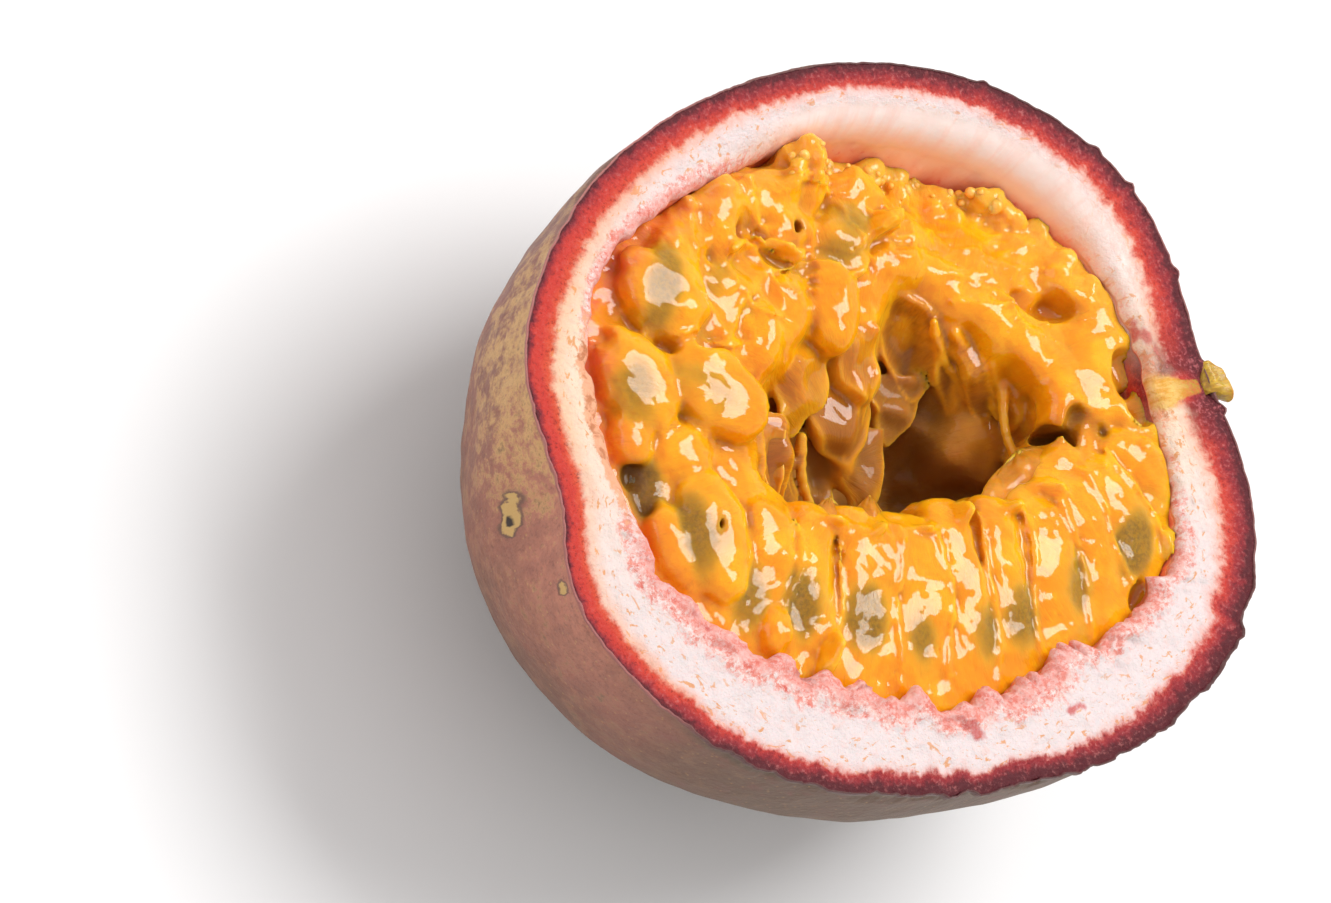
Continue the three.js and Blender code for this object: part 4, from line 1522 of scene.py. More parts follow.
def add_bulge(blob):
    place, radius = BULGE
    (centre,) = below_cut([place])
    cut, points = blob.around(centre, radius + 1)
    blob.melt(cut, size_of(points - centre) - radius, 0.8)
    for ridge in RIDGES:
        ends = below_cut(ridge)
        cut, points = blob.around(ends, 1)
        blob.melt(cut, rod(points, *ends, RIDGE_RADIUS), 0.5)


def add_ripples(blob, sizes):
    """Unevenness of the sacs, livelier on the far side, and slow waves deep in the hollow."""
    _, points = blob.everywhere()
    near = np.abs(blob.field.ravel()) < 1.6
    close = points.reshape(-1, 3)[near]
    open_top = ease(-0.5, 1.5, hollow_distance(close, sizes.hollow_depth))
    rough = 0.03 + (0.02 + 0.08 * ease(4, 10, close[:, 1])) * open_top
    lively = 0.03 * ease(2, 9, close[:, 1]) * open_top
    slow = 0.3 * ease(6.5, 9.5, CUT_Z - close[:, 2])
    bumps = np.zeros(near.size, np.float32)
    bumps[near] = rough * ripples(close, 4.2, 31) + 0.018 * ripples(close, 1.1, 32)
    bumps[near] += lively * ripples(close, 2.1, 33) + slow * ripples(close, 5.0, 35)
    calm = np.ones(len(close))
    for middle, half_length, half_width, turn, *_ in LOBES[:CALM_SACS]:
        local = (close[:, :2] - middle) @ plan_axes(turn)[:2, :2].T / (half_length, half_width)
        calm = np.minimum(calm, ease(0.8, 1.2, np.hypot(*local.T)))
    web = calm * (0.04 + 0.13 * ease(0, 8, close[:, 1]))
    for size, seed in ((6.5, 36), (4.4, 37)):
        bumps[near] -= web * open_top * hump(ripples(close, size, seed), 0.26)
    blob.field += bumps.reshape(blob.shape)


def out_of_sight(points, sizes):
    """Distance to where the sacs end: against the peel's inner wall and over the core."""
    side = cavity_distance(points, sizes.pole_depth - sizes.wall, -0.06)
    _, out = polar(points)
    under = 4.5 + 6.0 * ease(0, 24, points[..., 1] + 8) + 1.35 * np.clip(23 - out, 0, 10)
    return np.maximum(side, CUT_Z - np.minimum(under, 17.6) - points[..., 2])


def pulp_blob(sizes):
    blob = Blob((-26, -21, CUT_Z - 18.5), (26, 25, CUT_Z + 1.4), sizes.grain)
    fill_core(blob, sizes, 0.0, 0.0)
    add_bulge(blob)
    tables = ((LOBES, add_lobe), (LONG_SACS, add_long_sac), (SEAMS, add_seam), (CRESTS, add_crest))
    for table, add in tables:
        for row in table:
            add(blob, *row)
    add_vesicles(blob, sizes)
    add_ripples(blob, sizes)
    for seed, (*shape, _) in enumerate(FOLDS):
        add_fold(blob, *shape, seed)
    for string in STRINGS:
        add_string(blob, *string)
    for seed, (*pit, _, _) in enumerate(PITS):
        add_pit(blob, pit, seed)
    _, points = blob.everywhere()
    blob.field = np.maximum(blob.field, out_of_sight(points, sizes)).astype(np.float32)
    return blob


def seed_places(blob, sizes):
    """Middle, turned axes and half sizes of each seed, laid just under the top of its sac."""
    places = []
    for (x, y), long, wide, turn, shows in SEEDS:
        turn = math.radians(turn)
        size = min(1.0, 0.35 + 0.65 * 2 * long / sizes.seed_length)
        half = 0.5 * size * np.array([sizes.seed_length, sizes.seed_width, sizes.seed_thickness])
        step = 0.55 * half[0] * np.array([math.cos(turn), math.sin(turn)])
        ends = [blob.top(x + k * step[0], y + k * step[1]) for k in (-1, 0, 1)]
        pitch = -math.atan2(ends[2] - ends[0], 2 * np.hypot(*step))
        pitch = float(np.clip(pitch, -0.5, 0.5))
        narrow = np.clip((half[1] - wide) / (half[1] - half[2]), 0, 1)
        roll = float(narrow) * 0.9
        drop = half[2] + (half[1] - half[2]) * math.sin(roll) + 0.3 + 0.5 * max(0, 1 - shows)
        centre = np.array([x, y, min(np.mean(ends), ends[1]) - drop])
        places.append((centre, (roll, pitch, turn), half, shows))
    return places


def seed_veil(points, places):
    """How near a seed lies under each point: 1 right over it, 0 beside it."""
    veil = np.zeros(len(points))
    for centre, turn, half, shows in places:
        close = np.abs(points - centre).max(1) < 5.0
        axes = np.array(Euler(turn).to_matrix()).T
        shape = ellipsoid(points[close], centre, axes, half + np.array([0.1, 0.1, 0.45]))
        veil[close] = np.maximum(veil[close], shows * ease(0.85, -0.05, shape))
    return veil


def fold_masks(points):
    """How amber each point is, partly painted shade and darkest on the deep folds, and 1 along the rims
    of the folds.
    """
    amber = np.zeros(len(points))
    rims = np.zeros(len(points))
    for seed, (*shape, shade) in enumerate(FOLDS):
        distance, rim, body = fold_shape(points, *shape, seed)
        on = ease(0.45, 0.1, distance)
        amber = np.maximum(amber, on * shade * (0.55 + 0.45 * body))
        rims = np.maximum(rims, on * rim)
    return amber, rims


def pit_masks(points):
    """Painted shade inside the pits and in a soft ring round them, as darkness, and the redness inside
    them.
    """
    dark = np.zeros(len(points))
    red = np.zeros(len(points))
    for seed, (*pit, darkness, redness) in enumerate(PITS):
        distance = pit_distance(points, pit, seed)
        on = ease(0.15, -0.12, distance)
        shade = ease(1, 0, distance) ** 2
        dark = np.maximum(dark, np.maximum(on, 0.4 * shade) * darkness)
        red = np.maximum(red, on * redness)
    return dark, red


def creases(points, quads):
    """Negative in creases and positive on crests, from how each point lies among its neighbours."""
    summed = np.zeros_like(points)
    count = np.zeros(len(points))
    for a, b in ((0, 1), (1, 2), (2, 3), (3, 0)):
        np.add.at(summed, quads[:, a], points[quads[:, b]])
        np.add.at(summed, quads[:, b], points[quads[:, a]])
        np.add.at(count, quads[:, a], 1)
        np.add.at(count, quads[:, b], 1)
    pull = summed / count[:, None] - points
    p = points[quads]
    flat = np.cross(p[:, 2] - p[:, 0], p[:, 3] - p[:, 1])
    normals = np.zeros_like(points)
    for a in range(4):
        np.add.at(normals, quads[:, a], flat)
    normals /= np.linalg.norm(normals, axis=1)[:, None] + 1e-9
    bend = -(pull * normals).sum(1)
    for _ in range(3):
        total = np.zeros(len(points))
        for a, b in ((0, 1), (1, 2), (2, 3), (3, 0)):
            np.add.at(total, quads[:, a], bend[quads[:, b]])
            np.add.at(total, quads[:, b], bend[quads[:, a]])
        bend = 0.4 * bend + 0.6 * total / count
    return bend, normals


def pulp_material(colours):
    material, s = new_material("pulp")
    place = place_of(s)
    veil, crease, deep = s.masks("looks")
    amber, rims, edge = s.masks("tints")
    dark, red, painted_occlusion = s.masks("holes")
    thin, glow = s.attribute("thin", "Fac"), s.attribute("glow", "Fac")
    flow = s.attribute("flow")
    broad = s.noise(place, 0.28, 2, 0.5, 0.5)
    cloud = s.noise(place, 0.9, 4, 0.6, 0.8)
    threads = s.noise(flow, 1.5, 6, 0.7, 1.2)
    strands = s.noise(flow, 0.6, 4, 0.6, 2.0)
    base = s.tint(colours.juice, colours.juice_light, broad, 0.4, 0.66)
    base = s.tint(base, colours.juice_light, cloud, 0.5, 0.75, 0.5)
    base = s.tint(base, colours.juice_deep, threads, 0.45, 0.28, 0.5)
    base = s.tint(base, colours.juice_light, strands, 0.56, 0.7, 0.45)
    # Painted shade in the creases here, and painted light on the crests two lines down.
    base = s.tint(base, colours.juice_deep, crease, 0, -1.2, 0.7)
    # Painted occlusion shade where the pulp is closed in.
    base = s.tint(base, (0.48, 0.145, 0.006), painted_occlusion, 0.4, 0.95, 0.65)
    base = s.tint(base, colours.juice_light, crease, 0.4, 1.6, 0.45)
    # Painted light on the bubbles along the sunk edge.
    base = s.mix(s.times(glow, s.band(cloud, 0.3, 0.6, 0.4, 0.85)), base, (0.98, 0.50, 0.06))
    base = s.mix(s.times(edge, s.band(cloud, 0.3, 0.7, 0.35, 1)), base, colours.flush)
    # The folds' amber, with painted shade: darker in their middles, dark brown on the folds above 0.9.
    amber_at = s.times(amber, s.band(threads, 0.3, 0.7, 1.2, 0.75))
    base = s.tint(base, colours.amber, amber_at, 0, 1)
    base = s.tint(base, (0.17, 0.066, 0.013), amber_at, 0.9, 2, 0.9)
    # Painted shade: the deeper a point lies in the hollow, the more it takes on the hollow's dark brown.
    base = s.tint(base, colours.hollow, deep, 0, 1, 0.95)
    # Painted light: the rims of the folds are painted brighter.
    base = s.mix(s.times(rims, 0.6), base, (0.93, 0.40, 0.02))
    # Painted light: thin pulp is painted brighter, as light shining through it.
    painted_glow = s.times(s.band(thin, 0.8, 1, 0, 0.3), s.band(amber, 0.1, 0.5, 1, 0.15))
    base = s.mix(painted_glow, base, (0.98, 0.48, 0.03))
    speckle = s.noise(place, 3.5, 3, 0.7)
    olive = s.tint(colours.seed, colours.veil, speckle, 0.38, 0.6)
    veil_at = s.stirred(veil, cloud, 0.35)
    base = s.tint(base, (0.64, 0.31, 0.012), veil_at, 0, 0.65, 0.75)
    base = s.tint(base, colours.veil, veil_at, 0.4, 0.95, 0.7)
    base = s.tint(base, olive, veil_at, 0.65, 1.15, 0.7)
    # Painted shade: the pits go dark brown, and red where they are red.
    pit = s.mix(red, (0.15, 0.05, 0.008), (0.62, 0.13, 0.012))
    base = s.mix(s.math("MULTIPLY", dark, 1, clamp=True), base, pit)
    wet = wet_height(s, place)
    fine = s.math("MULTIPLY_ADD", threads, 0.22, wet)
    crinkle = s.math("ABSOLUTE", s.math("SUBTRACT", s.noise(flow, 0.9, 4, 0.6, 1.5), 0.5))
    fine = s.math("MULTIPLY_ADD", crinkle, -0.9, fine)
    surface(s, {
        "Base Color": base,
        "Roughness": s.band(cloud, 0.3, 0.7, 0.3, 0.45),
        "Normal": s.bump(s.math("MULTIPLY_ADD", strands, 0.25, fine), 0.5, 0.45),
        "Alpha": s.band(veil, 0.45, 1, 1, 0.82),
        "Specular IOR Level": 0.0,
        "Subsurface Weight": 0.8,
        "Subsurface Scale": 0.0016,
        "Subsurface Radius": (1.0, 0.5, 0.12),
        "Coat Weight": s.times(s.band(deep, 0.2, 0.8, 0.88, 0.25), s.band(dark, 0.3, 0.9, 1, 0.4)),
        "Coat Roughness": 0.025,
        "Coat IOR": 1.5,
    })
    return material


def build_core(sizes, material):
    """The smaller core under the sacs."""
    core = Blob((-26, -22, CUT_Z - 24), (27, 26, CUT_Z + 1), CORE_STEP)
    fill_core(core, sizes, CORE_LOWER, CORE_GROW)
    _, points = core.everywhere()
    inset = cavity_distance(points, sizes.pole_depth - sizes.wall, CORE_INSET)
    core.field = np.maximum(core.field, inset).astype(np.float32)
    points, quads = core.surface()
    # The core is painted in shade: fully as a crease and partly as deep in the hollow.
    flat = points[:, 2] * 0
    attributes = {"looks": np.stack([flat, flat - 1, flat + 0.7], 1), "flow": points}
    finished(mesh_piece("pulp_core", points, [quads], material, attributes), "pulp")


def pulp_attributes(blob, points, quads, places, sizes):
    """Masks that the pulp's material mixes by."""
    bend, normals = creases(points, quads)
    # How closed in a point is by the pulp round it, for painted occlusion shade.
    painted_occlusion = np.clip(1 - blob.at(points + 1.5 * normals)[0] / 1.5, 0, 1)
    # How thin the pulp is under a point; the colour paints thin places brighter, painted light shining
    # through.
    thin = np.clip(1 + blob.at(points - 1.3 * normals)[0] / 1.3, 0, 1)
    angle = np.arctan2(points[:, 1], points[:, 0])
    out = np.hypot(points[:, 0], points[:, 1])
    # deep is painted shade: it grows with the depth in the hollow, less on the hollow's left side.
    inside = ease(3, 0, hollow_distance(points, sizes.hollow_depth))
    deep = inside * ease(2.5, 12.5, CUT_Z - points[:, 2])
    deep = deep * (0.4 + 0.6 * ease(-11, -3, points[:, 0]))
    amber, rims = fold_masks(points)
    dark, red = pit_masks(points)
    return {
        # looks holds the seed veil, the crease mark that paints shade and light, and deep, the painted
        # shade in the hollow.
        "looks": np.stack([seed_veil(points, places), bend / (sizes.grain * 0.12), deep], 1),
        "tints": np.stack([amber, rims, wall_flush(points)], 1),
        "holes": np.stack([dark, red, painted_occlusion], 1),
        "thin": thin,
        "glow": edge_light(points),
        "flow": np.stack([angle * 17, out * 0.22, points[:, 2] * 0.35], 1),
    }


def build_pulp():
    sizes, colours, _ = settings()
    material = pulp_material(colours)
    build_core(sizes, material)
    blob = pulp_blob(sizes)
    points, quads = blob.surface()
    places = seed_places(blob, sizes)
    attributes = pulp_attributes(blob, points, quads, places, sizes)
    piece = mesh_piece("pulp_sacs", points, [quads], material, attributes)
    sides = CUT_Z - points[:, 2] > edge_drop(polar(points)[0]) + 1.5
    hidden = (out_of_sight(points, sizes) > -0.1) & sides
    finished(thinned(piece, hidden, KEPT_SHARE), "pulp")
    build_seeds(places, sizes, colours)
    build_beads(blob, sizes)


def edge_light(points):
    """1 on the bubbles along the sunk edge, which let more light through: there the pulp is painted
    lighter, painted light.
    """
    angle, out = polar(points)
    inset = waves(CAVITY, angle) * section(CUT_Z - points[:, 2], 23.0) - out
    return bell(angle, EDGE_ANGLE, 0.75) * ease(4, 1, inset)


def wall_flush(points):
    """Coral tissue where the pulp meets the peel, on the left and over the sunk edge."""
    angle, out = polar(points)
    return bell(angle, 2.65, 0.65) * ease(3.2, 0.4, waves(CAVITY, angle) - out)


def seed_tree():
    """Geometry Nodes: a pointed, pitted seed on every point."""
    sizes = [("Length", "NodeSocketFloat", 1.0), ("Width", "NodeSocketFloat", 1.0)]
    sizes += [("Thickness", "NodeSocketFloat", 1.0), ("Pits", "NodeSocketFloat", 0.05)]
    grow = Grower("Seeds", sizes + [("Material", "NodeSocketMaterial", None)])
    ball = grow.made("MeshIcoSphere", Radius=1.0, Subdivisions=5)
    place = grow.made("InputPosition")
    x, y, z = grow.split(place)
    slim = grow.math("MULTIPLY_ADD", x, -0.22, 0.92)
    dent = grow.times(grow.cells(place, 5.0), grow.given["Pits"])
    long = grow.times(x, grow.given["Length"])
    wide = grow.times(grow.times(y, grow.given["Width"]), slim)
    thick = grow.times(z, grow.given["Thickness"])
    shape = grow.scaled(grow.joined(long, wide, thick), grow.plus(0.96, dent))
    return grow.scattered(grow.made("SetPosition", Geometry=ball, Position=shape))


def build_seeds(places, sizes, colours):
    material, s = new_material("seed")
    place = place_of(s)
    pits = s.cells(place, 2.4)
    grain = s.noise(place, 3.0, 3, 0.6)
    base = s.tint(colours.seed, (0.05, 0.028, 0.008), grain, 0.35, 0.65)
    # Painted shade in the pits that the bump dents into the seed.
    base = s.tint(base, (0.02, 0.012, 0.005), pits, 0.3, 0.1, 0.7)
    surface(s, {
        "Base Color": base,
        "Roughness": s.band(grain, 0.3, 0.7, 0.3, 0.5),
        "Normal": s.bump(pits, 0.12, 0.8),
        "Coat Weight": s.band(grain, 0.3, 0.7, 0.5, 0.9),
        "Coat Roughness": 0.1,
    })
    half = 0.5 * MM
    values = {
        "Length": sizes.seed_length * half,
        "Width": sizes.seed_width * half,
        "Thickness": sizes.seed_thickness * half,
        "Pits": 0.07,
        "Material": material,
    }
    points, turns, halves, _ = zip(*places)
    scales = [[size[0] / (0.5 * sizes.seed_length)] * 3 for size in halves]
    attributes = {"turn": turns, "size": scales}
    finished(grown("seeds", points, attributes, seed_tree(), values), "pulp")


def bead_tree():
    """Geometry Nodes: a small round bead on every point."""
    inputs = [("Radius", "NodeSocketFloat", 1.0), ("Material", "NodeSocketMaterial", None)]
    grow = Grower("Beads", inputs)
    return grow.scattered(grow.made("MeshIcoSphere", Radius=grow.given["Radius"], Subdivisions=3))


def build_beads(blob, sizes):
    """Small round beads of juice on the sunk edge of the pulp."""
    material, s = new_material("bead")
    cloud = s.noise(place_of(s), 1.2, 3, 0.6)
    base = s.tint((0.98, 0.42, 0.03), (1, 0.58, 0.14), cloud, 0.35, 0.65)
    surface(s, {
        "Base Color": base,
        "Roughness": s.band(cloud, 0.3, 0.7, 0.15, 0.35),
        "Normal": s.bump(cloud, 0.2, 0.4),
        "Subsurface Weight": 0.5,
        "Subsurface Scale": 0.0005,
        "Subsurface Radius": (1.0, 0.6, 0.2),
    })
    rng = np.random.default_rng(26)
    points, turns, scales = [], [], []
    while len(points) < sizes.beads:
        angle = rng.uniform(0.45, 1.95)
        if rng.random() > bell(np.array(angle), 1.15, 0.5):
            continue
        drop = edge_drop(np.array(angle))
        reach = waves(CAVITY, np.array(angle)) * section(drop, sizes.pole_depth - sizes.wall)
        radius = float(reach) - 0.7 - abs(rng.normal(0, 0.9))
        x, y = radius * math.cos(angle), radius * math.sin(angle)
        size = rng.uniform(0.5, 1.0) + 0.7 * rng.random() ** 4
        z = blob.top(x, y) - rng.uniform(0.15, 0.75) * size * sizes.bead_size
        points.append((x, y, z))
        turns.append(rng.uniform(0, TURN, 3))
        scales.append(size * rng.uniform(0.8, 1.15, 3))
    values = {"Radius": sizes.bead_size * MM, "Material": material}
    attributes = {"turn": turns, "size": scales}
    finished(grown("juice_beads", points, attributes, bead_tree(), values), "pulp")


# ---- Membranes ----

# Thin films that stand at the hollow's edge or hang in it: two corners of the root and the tip,
# each with its depth, how far it bulges, how much it narrows, how torn its edge is.
FILMS = [
    ((6.4, -6.5, 2.2), (15.4, -3.8, 2.2), (12.4, -2.2, 3.0), 0.7, 0.0, 0.7),
    ((13.2, -5.4, 2.0), (17.0, -4.8, 1.8), (16.0, -2.9, 2.3), 0.6, 0.0, 0.2),
    ((-9.0, -5.6, 2.0), (-5.4, -6.4, 2.0), (-5.8, -3.5, 2.6), 0.5, 0.1, 0.4),
    ((-5.6, -6.4, 2.0), (-2.0, -6.5, 2.0), (-2.4, -3.9, 2.6), 0.5, 0.1, 0.4),
    ((-9.4, 2.9, 2.8), (-7.2, 2.2, 3.4), (-8.6, -3.4, 5.6), 0.5, 0.3, 0.6),
]
FILM_ACROSS = 30
FILM_DOWN = 34
FILM_THICK = 0.16


def film_points(corners, bulge, narrowing, torn, seed):
    """The middle surface of one film, as rows of points from its root to its tip."""
    left, right, tip = below_cut(corners)
    u, v = np.meshgrid(np.linspace(-1, 1, FILM_ACROSS), np.linspace(0, 1, FILM_DOWN))
    middle = 0.5 * (left + right)
    width = (1 - v**2.4) ** 0.6 * (1 - narrowing * np.sin(0.5 * math.pi * v)) + 0.03
    points = middle + (tip - middle) * v[..., None] + 0.5 * (right - left) * (u * width)[..., None]
    out = np.cross(right - left, tip - middle)
    out /= np.linalg.norm(out)
    belly = (1 - u**2) * np.sin(math.pi * v**0.8)
    turn = np.random.default_rng(seed).uniform(0, TURN)
    pleat = 0.1 * np.sin(1.2 * math.pi * u + turn + 1.2 * v)
    flat = points.reshape(-1, 3)
    crumple = 0.1 * ripples(flat, 3.0, seed + 1) + 0.03 * ripples(flat, 1.0, seed + 2)
    shift = bulge * belly + pleat + crumple.reshape(u.shape)
    points = points + shift[..., None] * out
    fray = np.stack([u.ravel() * 5, v.ravel() * 0, v.ravel() * 0], 1)
    fray = 0.3 * torn * ripples(fray, 1.4, seed + 3).reshape(u.shape) * v**2
    return points + fray[..., None] * (tip - middle) / np.linalg.norm(tip - middle)


def sheet_mesh(points, thick):
    """A thin closed sheet from rows of points, and how near each point is to its edge."""
    rows, columns = points.shape[:2]
    du = np.gradient(points, axis=1)
    dv = np.gradient(points, axis=0)
    normals = np.cross(du, dv)
    normals /= size_of(normals)[..., None] + 1e-9
    front = points + normals * thick / 2
    back = points - normals * thick / 2
    quads = grid_quads(rows, columns)
    count = rows * columns
    border = np.concatenate(
        [
            np.arange(columns),
            np.arange(2, rows + 1) * columns - 1,
            np.arange(count - 2, count - columns - 1, -1),
            np.arange(rows - 2, 0, -1) * columns,
        ]
    )
    after = np.roll(border, -1)
    rim = np.stack([border, border + count, after + count, after], 1)
    faces = np.concatenate([quads, quads[:, ::-1] + count, rim])
    u, v = np.meshgrid(np.linspace(0, 1, columns), np.linspace(0, 1, rows))
    width = size_of(points[:, -1] - points[:, 0])[:, None] + 0.4
    edge = np.minimum(np.minimum(u, 1 - u) * width, (1 - v) * 6)
    rim_near = np.clip(1 - edge / 0.4, 0, 1)
    looks = np.stack([np.tile(rim_near.ravel(), 2), np.tile(u.ravel(), 2), np.tile(v.ravel(), 2)], 1)
    return np.concatenate([front.reshape(-1, 3), back.reshape(-1, 3)]), faces, looks


def membrane_material(colours):
    material, s = new_material("membrane")
    place = place_of(s)
    edge, across, down = s.masks("looks")
    fibre = s.noise(s.joined(s.times(across, 6), down, 0), 0.7, 5, 0.7, 1.4)
    cloud = s.noise(place, 0.5, 3, 0.6, 0.4)
    base = s.tint(colours.membrane, (0.80, 0.30, 0.015), cloud, 0.35, 0.65)
    base = s.tint(base, (0.93, 0.44, 0.04), fibre, 0.5, 0.75, 0.3)
    base = s.tint(base, (0.42, 0.16, 0.012), down, 0.4, 1.1, 0.4)
    # Painted light: the films' edges are painted brighter, as light shining through them.
    base = s.tint(base, (1, 0.50, 0.03), edge, 0.4, 0.95, 0.9)
    clear = s.band(cloud, 0.3, 0.7, 0.55, 0.8)
    clear = s.math("ADD", clear, s.band(edge, 0.3, 0.9, 0, 0.35), clamp=True)
    surface(s, {
        "Base Color": base,
        "Roughness": s.band(cloud, 0.3, 0.7, 0.35, 0.5),
        "Normal": s.bump(s.math("MULTIPLY_ADD", fibre, 0.05, wet_height(s, place)), 0.4, 0.5),
        "Alpha": clear,
        "Specular IOR Level": 0.1,
        "Subsurface Weight": 0.4,
        "Subsurface Scale": 0.0006,
        "Coat Weight": s.band(fibre, 0.3, 0.7, 0.5, 1),
        "Coat Roughness": 0.06,
    })
    return material


def build_membranes():
    _, colours, _ = settings()
    all_points, all_faces, all_looks = [], [], []
    start = 0
    for seed, (*corners, bulge, narrowing, torn) in enumerate(FILMS, start=60):
        middle = film_points(corners, bulge, narrowing, torn, seed * 7)
        points, faces, looks = sheet_mesh(middle, FILM_THICK)
        all_points.append(points)
        all_faces.append(faces + start)
        all_looks.append(looks)
        start += len(points)
    looks = {"looks": np.concatenate(all_looks)}
    material = membrane_material(colours)
    faces = [np.concatenate(all_faces)]
    piece = mesh_piece("membranes", np.concatenate(all_points), faces, material, looks)
    return finished(piece, "pulp")


# ---- Stem stump ----


STEM_START = 24.6
STEM_END = 31.4
STEM_BEND = 0.72  # share of its length where its end starts to hook sideways


def stem_points(around, along):
    """Rings of points along the halved stem, flat where it is cut."""
    rows = []
    for i in range(along):
        t = i / (along - 1)
        hook = max(0.0, (t - STEM_BEND) / (1 - STEM_BEND))
        share = min(t, STEM_BEND) + (1 - STEM_BEND) * math.sin(hook * math.pi / 2)
        x = STEM_START + (STEM_END - STEM_START) * share
        radius = 0.75 + 0.5 * float(ease(0.5, 0.8, t)) + 0.06 * math.sin(9 * t)
        radius *= math.sqrt(max(0.01, 1 - max(0, (hook - 0.4) / 0.6) ** 2)) * min(1, 0.25 + t * 6)
        for k in range(around):
            turn = TURN * k / around
            y = STEM_Y + radius * math.cos(turn)
            y += 0.5 * float(ease(0.45, 0.75, t)) - 1.5 * hook**2
            z = radius * math.sin(turn) * (1 - 0.2 * hook)
            top = CUT_Z + 0.65 * hook - 0.6 + 0.75 * float(ease(0.64, 0.76, t))
            z = min(CUT_Z - 0.15 + z, top) - 0.35 * hook
            rows.append((x, y, z))
    points = np.array(rows)
    return points + 0.07 * np.stack([ripples(points, 1.1, seed) for seed in (41, 42, 43)], 1)


def stem_material(colours):
    material, s = new_material("stem")
    place = place_of(s)
    fibre = s.noise(s.vector("MULTIPLY", place, (0.35, 2.2, 2.2)), 1.6, 4, 0.6)
    blotch = s.noise(place, 0.7, 3, 0.6)
    height = s.split(place)[2]
    base = s.tint(colours.stem, (0.62, 0.38, 0.018), fibre, 0.4, 0.65)
    base = s.tint(base, (0.30, 0.10, 0.02), blotch, 0.54, 0.7, 0.6)
    inner = s.band(s.split(place)[0], 28.6, 27.4)
    cream = s.tint((0.86, 0.52, 0.16), (0.72, 0.31, 0.03), fibre, 0.35, 0.65)
    base = s.mix(s.times(inner, s.band(height, CUT_Z - 0.4, CUT_Z - 0.1)), base, cream)
    surface(s, {
        "Base Color": base,
        "Roughness": s.band(fibre, 0.3, 0.7, 0.35, 0.6),
        "Normal": s.bump(fibre, 0.15, 0.8),
        "Subsurface Weight": 0.3,
        "Subsurface Scale": 0.0006,
        "Coat Weight": 0.2,
    })
    return material


def build_stem():
    _, colours, _ = settings()
    around, along = 28, 48
    points = stem_points(around, along)
    ends = np.array([[STEM_START, STEM_Y, CUT_Z - 0.3], points[-around:].mean(0)])
    faces = [f[:, ::-1] for f in ring_faces(along, around, len(points), len(points) + 1)]
    points = np.concatenate([points, ends])
    piece = mesh_piece("stem_stump", points, faces, stem_material(colours))
    return finished(piece, "stem_stub")


# ---- Stage ----

CAMERA_AT = (-264.57, -72.69, 345.18)
AIM = (0, 0, 22)  # what the lights point at
FLOOR_HALF = 900.0
FLOOR_STEPS = 24


def view_axes(studio):
    """The camera's right, up and back directions."""
    azimuth, elevation = math.radians(studio.azimuth), math.radians(studio.elevation)
    flat = math.cos(elevation)
    back = Vector((flat * math.cos(azimuth), flat * math.sin(azimuth), math.sin(elevation)))
    level = Vector((-math.sin(azimuth), math.cos(azimuth), 0))
    up = back.cross(level)
    roll = math.radians(studio.roll)
    right = level * math.cos(roll) + up * math.sin(roll)
    return right, back.cross(right), back


def area_light(name, watts, size, place):
    """A soft box that faces the fruit. Its size and place are in metres."""
    data = bpy.data.lights.new(name, "AREA")
    data.shape = "RECTANGLE"
    data.size, data.size_y = size
    data.energy = watts
    lamp = bpy.data.objects.new(name, data)
    lamp.location = Vector(place)
    lamp.rotation_euler = (lamp.location - Vector(AIM) * MM).to_track_quat("Z", "Y").to_euler()
    bpy.context.scene.collection.objects.link(lamp)
    return lamp


def build_stage():
    _, colours, studio = settings()
    scene = bpy.context.scene
    right, up, back = view_axes(studio)
    data = bpy.data.cameras.new("camera")
    data.lens = studio.lens
    data.sensor_width = 36
    data.clip_start = 0.01
    data.clip_end = 20
    camera = bpy.data.objects.new("camera", data)
    turn = Matrix((right, up, back)).transposed().to_4x4()
    camera.matrix_world = Matrix.Translation(Vector(CAMERA_AT) * MM) @ turn
    scene.collection.objects.link(camera)
    scene.camera = camera

    area_light("key", studio.key, (0.34, 0.3), (0.26, 0.10, 0.56))
    area_light("fill", studio.fill, (0.4, 0.4), (-0.5, 0.25, 0.22))
    world = bpy.data.worlds.new("room")
    world.use_nodes = True
    shade = world.node_tree.nodes["Background"]
    shade.inputs[0].default_value = (1, 1, 1, 1)
    shade.inputs[1].default_value = studio.sky
    scene.world = world
    scene.view_settings.view_transform = "Standard"
    build_floor(colours)


def build_floor(colours):
    line = np.linspace(-FLOOR_HALF, FLOOR_HALF, FLOOR_STEPS + 1)
    x, y = np.meshgrid(line, line)
    points = np.stack([x.ravel(), y.ravel(), x.ravel() * 0], 1)
    quads = grid_quads(len(line), len(line))
    material, s = new_material("floor")
    place = place_of(s)
    tone = s.noise(place, 0.02, 2)
    base = s.mix(s.times(tone, 0.08), colours.floor, (0.8, 0.79, 0.79))
    surface(s, {"Base Color": base, "Roughness": s.band(tone, 0.3, 0.7, 0.55, 0.65)})
    floor = mesh_piece("floor", points, [quads], material)


# ---- Operators and panel ----


class FRUIT_OT_stage(bpy.types.Operator):
    """Add the floor, the lights and the camera"""

    bl_idname = "fruit.stage"
    bl_label = "Stage"

    def execute(self, context):
        build_stage()
        return {"FINISHED"}


class FRUIT_OT_peel(bpy.types.Operator):
    """Add the peel: skin, red rind, pith and inner wall"""

    bl_idname = "fruit.peel"
    bl_label = "Peel"

    def execute(self, context):
        build_peel()
        return {"FINISHED"}


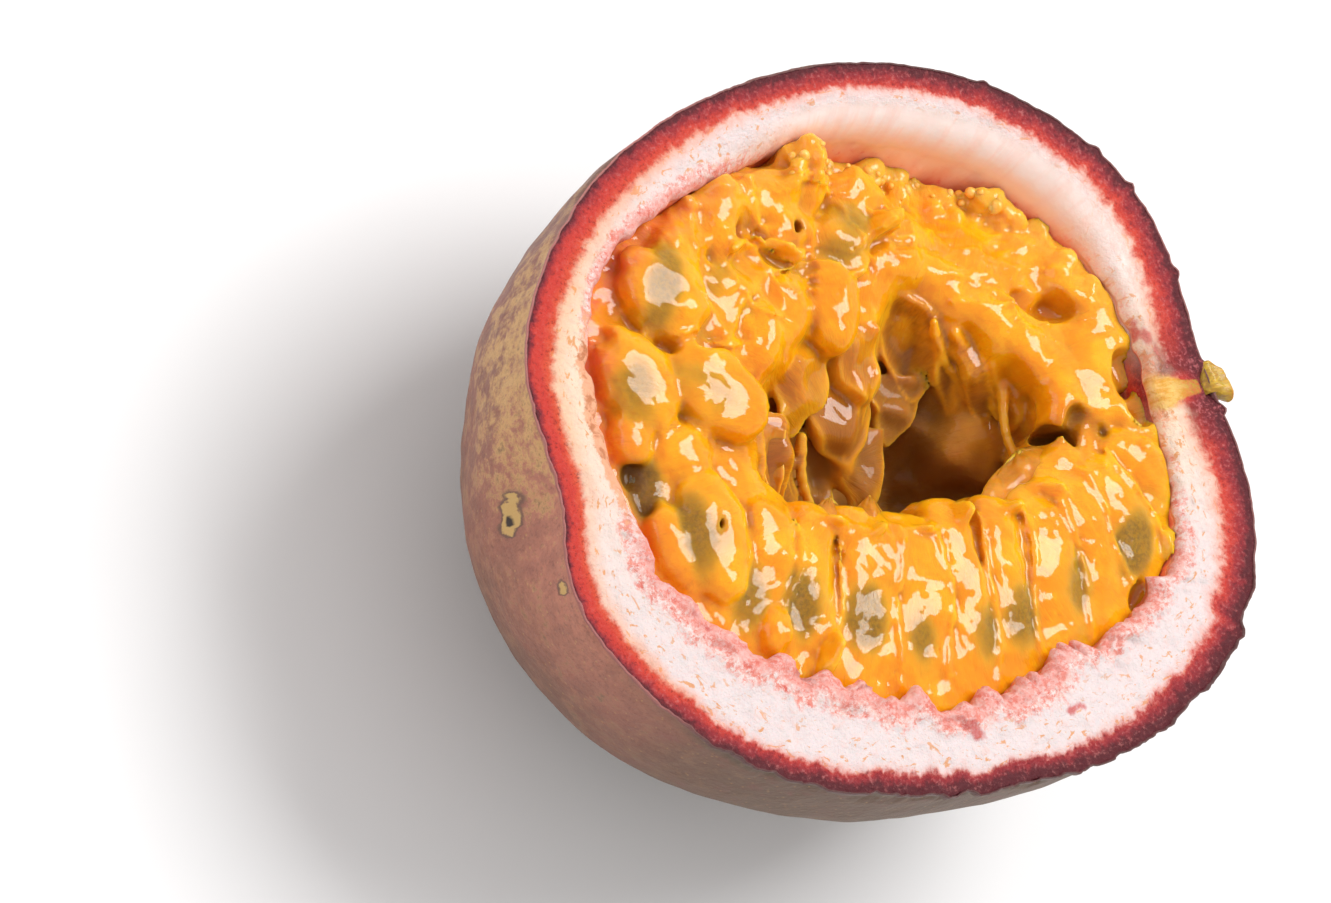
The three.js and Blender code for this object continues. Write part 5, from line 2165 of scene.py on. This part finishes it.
class FRUIT_OT_pulp(bpy.types.Operator):
    """Add the pulp: its core and the seed sacs"""

    bl_idname = "fruit.pulp"
    bl_label = "Pulp"

    def execute(self, context):
        build_pulp()
        return {"FINISHED"}


class FRUIT_OT_membranes(bpy.types.Operator):
    """Add the thin skins that hang in the hollow"""

    bl_idname = "fruit.membranes"
    bl_label = "Membranes"

    def execute(self, context):
        build_membranes()
        return {"FINISHED"}


class FRUIT_OT_stem(bpy.types.Operator):
    """Add the halved stump of the stem"""

    bl_idname = "fruit.stem"
    bl_label = "Stem stump"

    def execute(self, context):
        build_stem()
        return {"FINISHED"}


class FRUIT_PT_panel(bpy.types.Panel):
    bl_label = "Passion fruit"
    bl_idname = "FRUIT_PT_panel"
    bl_space_type = "VIEW_3D"
    bl_region_type = "UI"
    bl_category = "Passion fruit"

    def draw(self, context):
        layout = self.layout
        for operator in OPERATORS:
            layout.operator(operator.bl_idname)
        for group in (context.scene.fruit_sizes, context.scene.fruit_colours, context.scene.fruit_studio):
            box = layout.box()
            for key in group.__annotations__:
                box.prop(group, key)


OPERATORS = (FRUIT_OT_stage, FRUIT_OT_peel, FRUIT_OT_pulp, FRUIT_OT_membranes, FRUIT_OT_stem)
CLASSES = (FruitSizes, FruitColours, StudioSettings, *OPERATORS, FRUIT_PT_panel)


def register():
    for cls in CLASSES:
        bpy.utils.register_class(cls)
    bpy.types.Scene.fruit_sizes = PointerProperty(type=FruitSizes)
    bpy.types.Scene.fruit_colours = PointerProperty(type=FruitColours)
    bpy.types.Scene.fruit_studio = PointerProperty(type=StudioSettings)


def unregister():
    del bpy.types.Scene.fruit_studio
    del bpy.types.Scene.fruit_colours
    del bpy.types.Scene.fruit_sizes
    for cls in reversed(CLASSES):
        bpy.utils.unregister_class(cls)


def main():
    register()
    bpy.ops.fruit.stage()
    bpy.ops.fruit.peel()
    bpy.ops.fruit.pulp()
    bpy.ops.fruit.membranes()
    bpy.ops.fruit.stem()


if __name__ == "__main__":
    main()
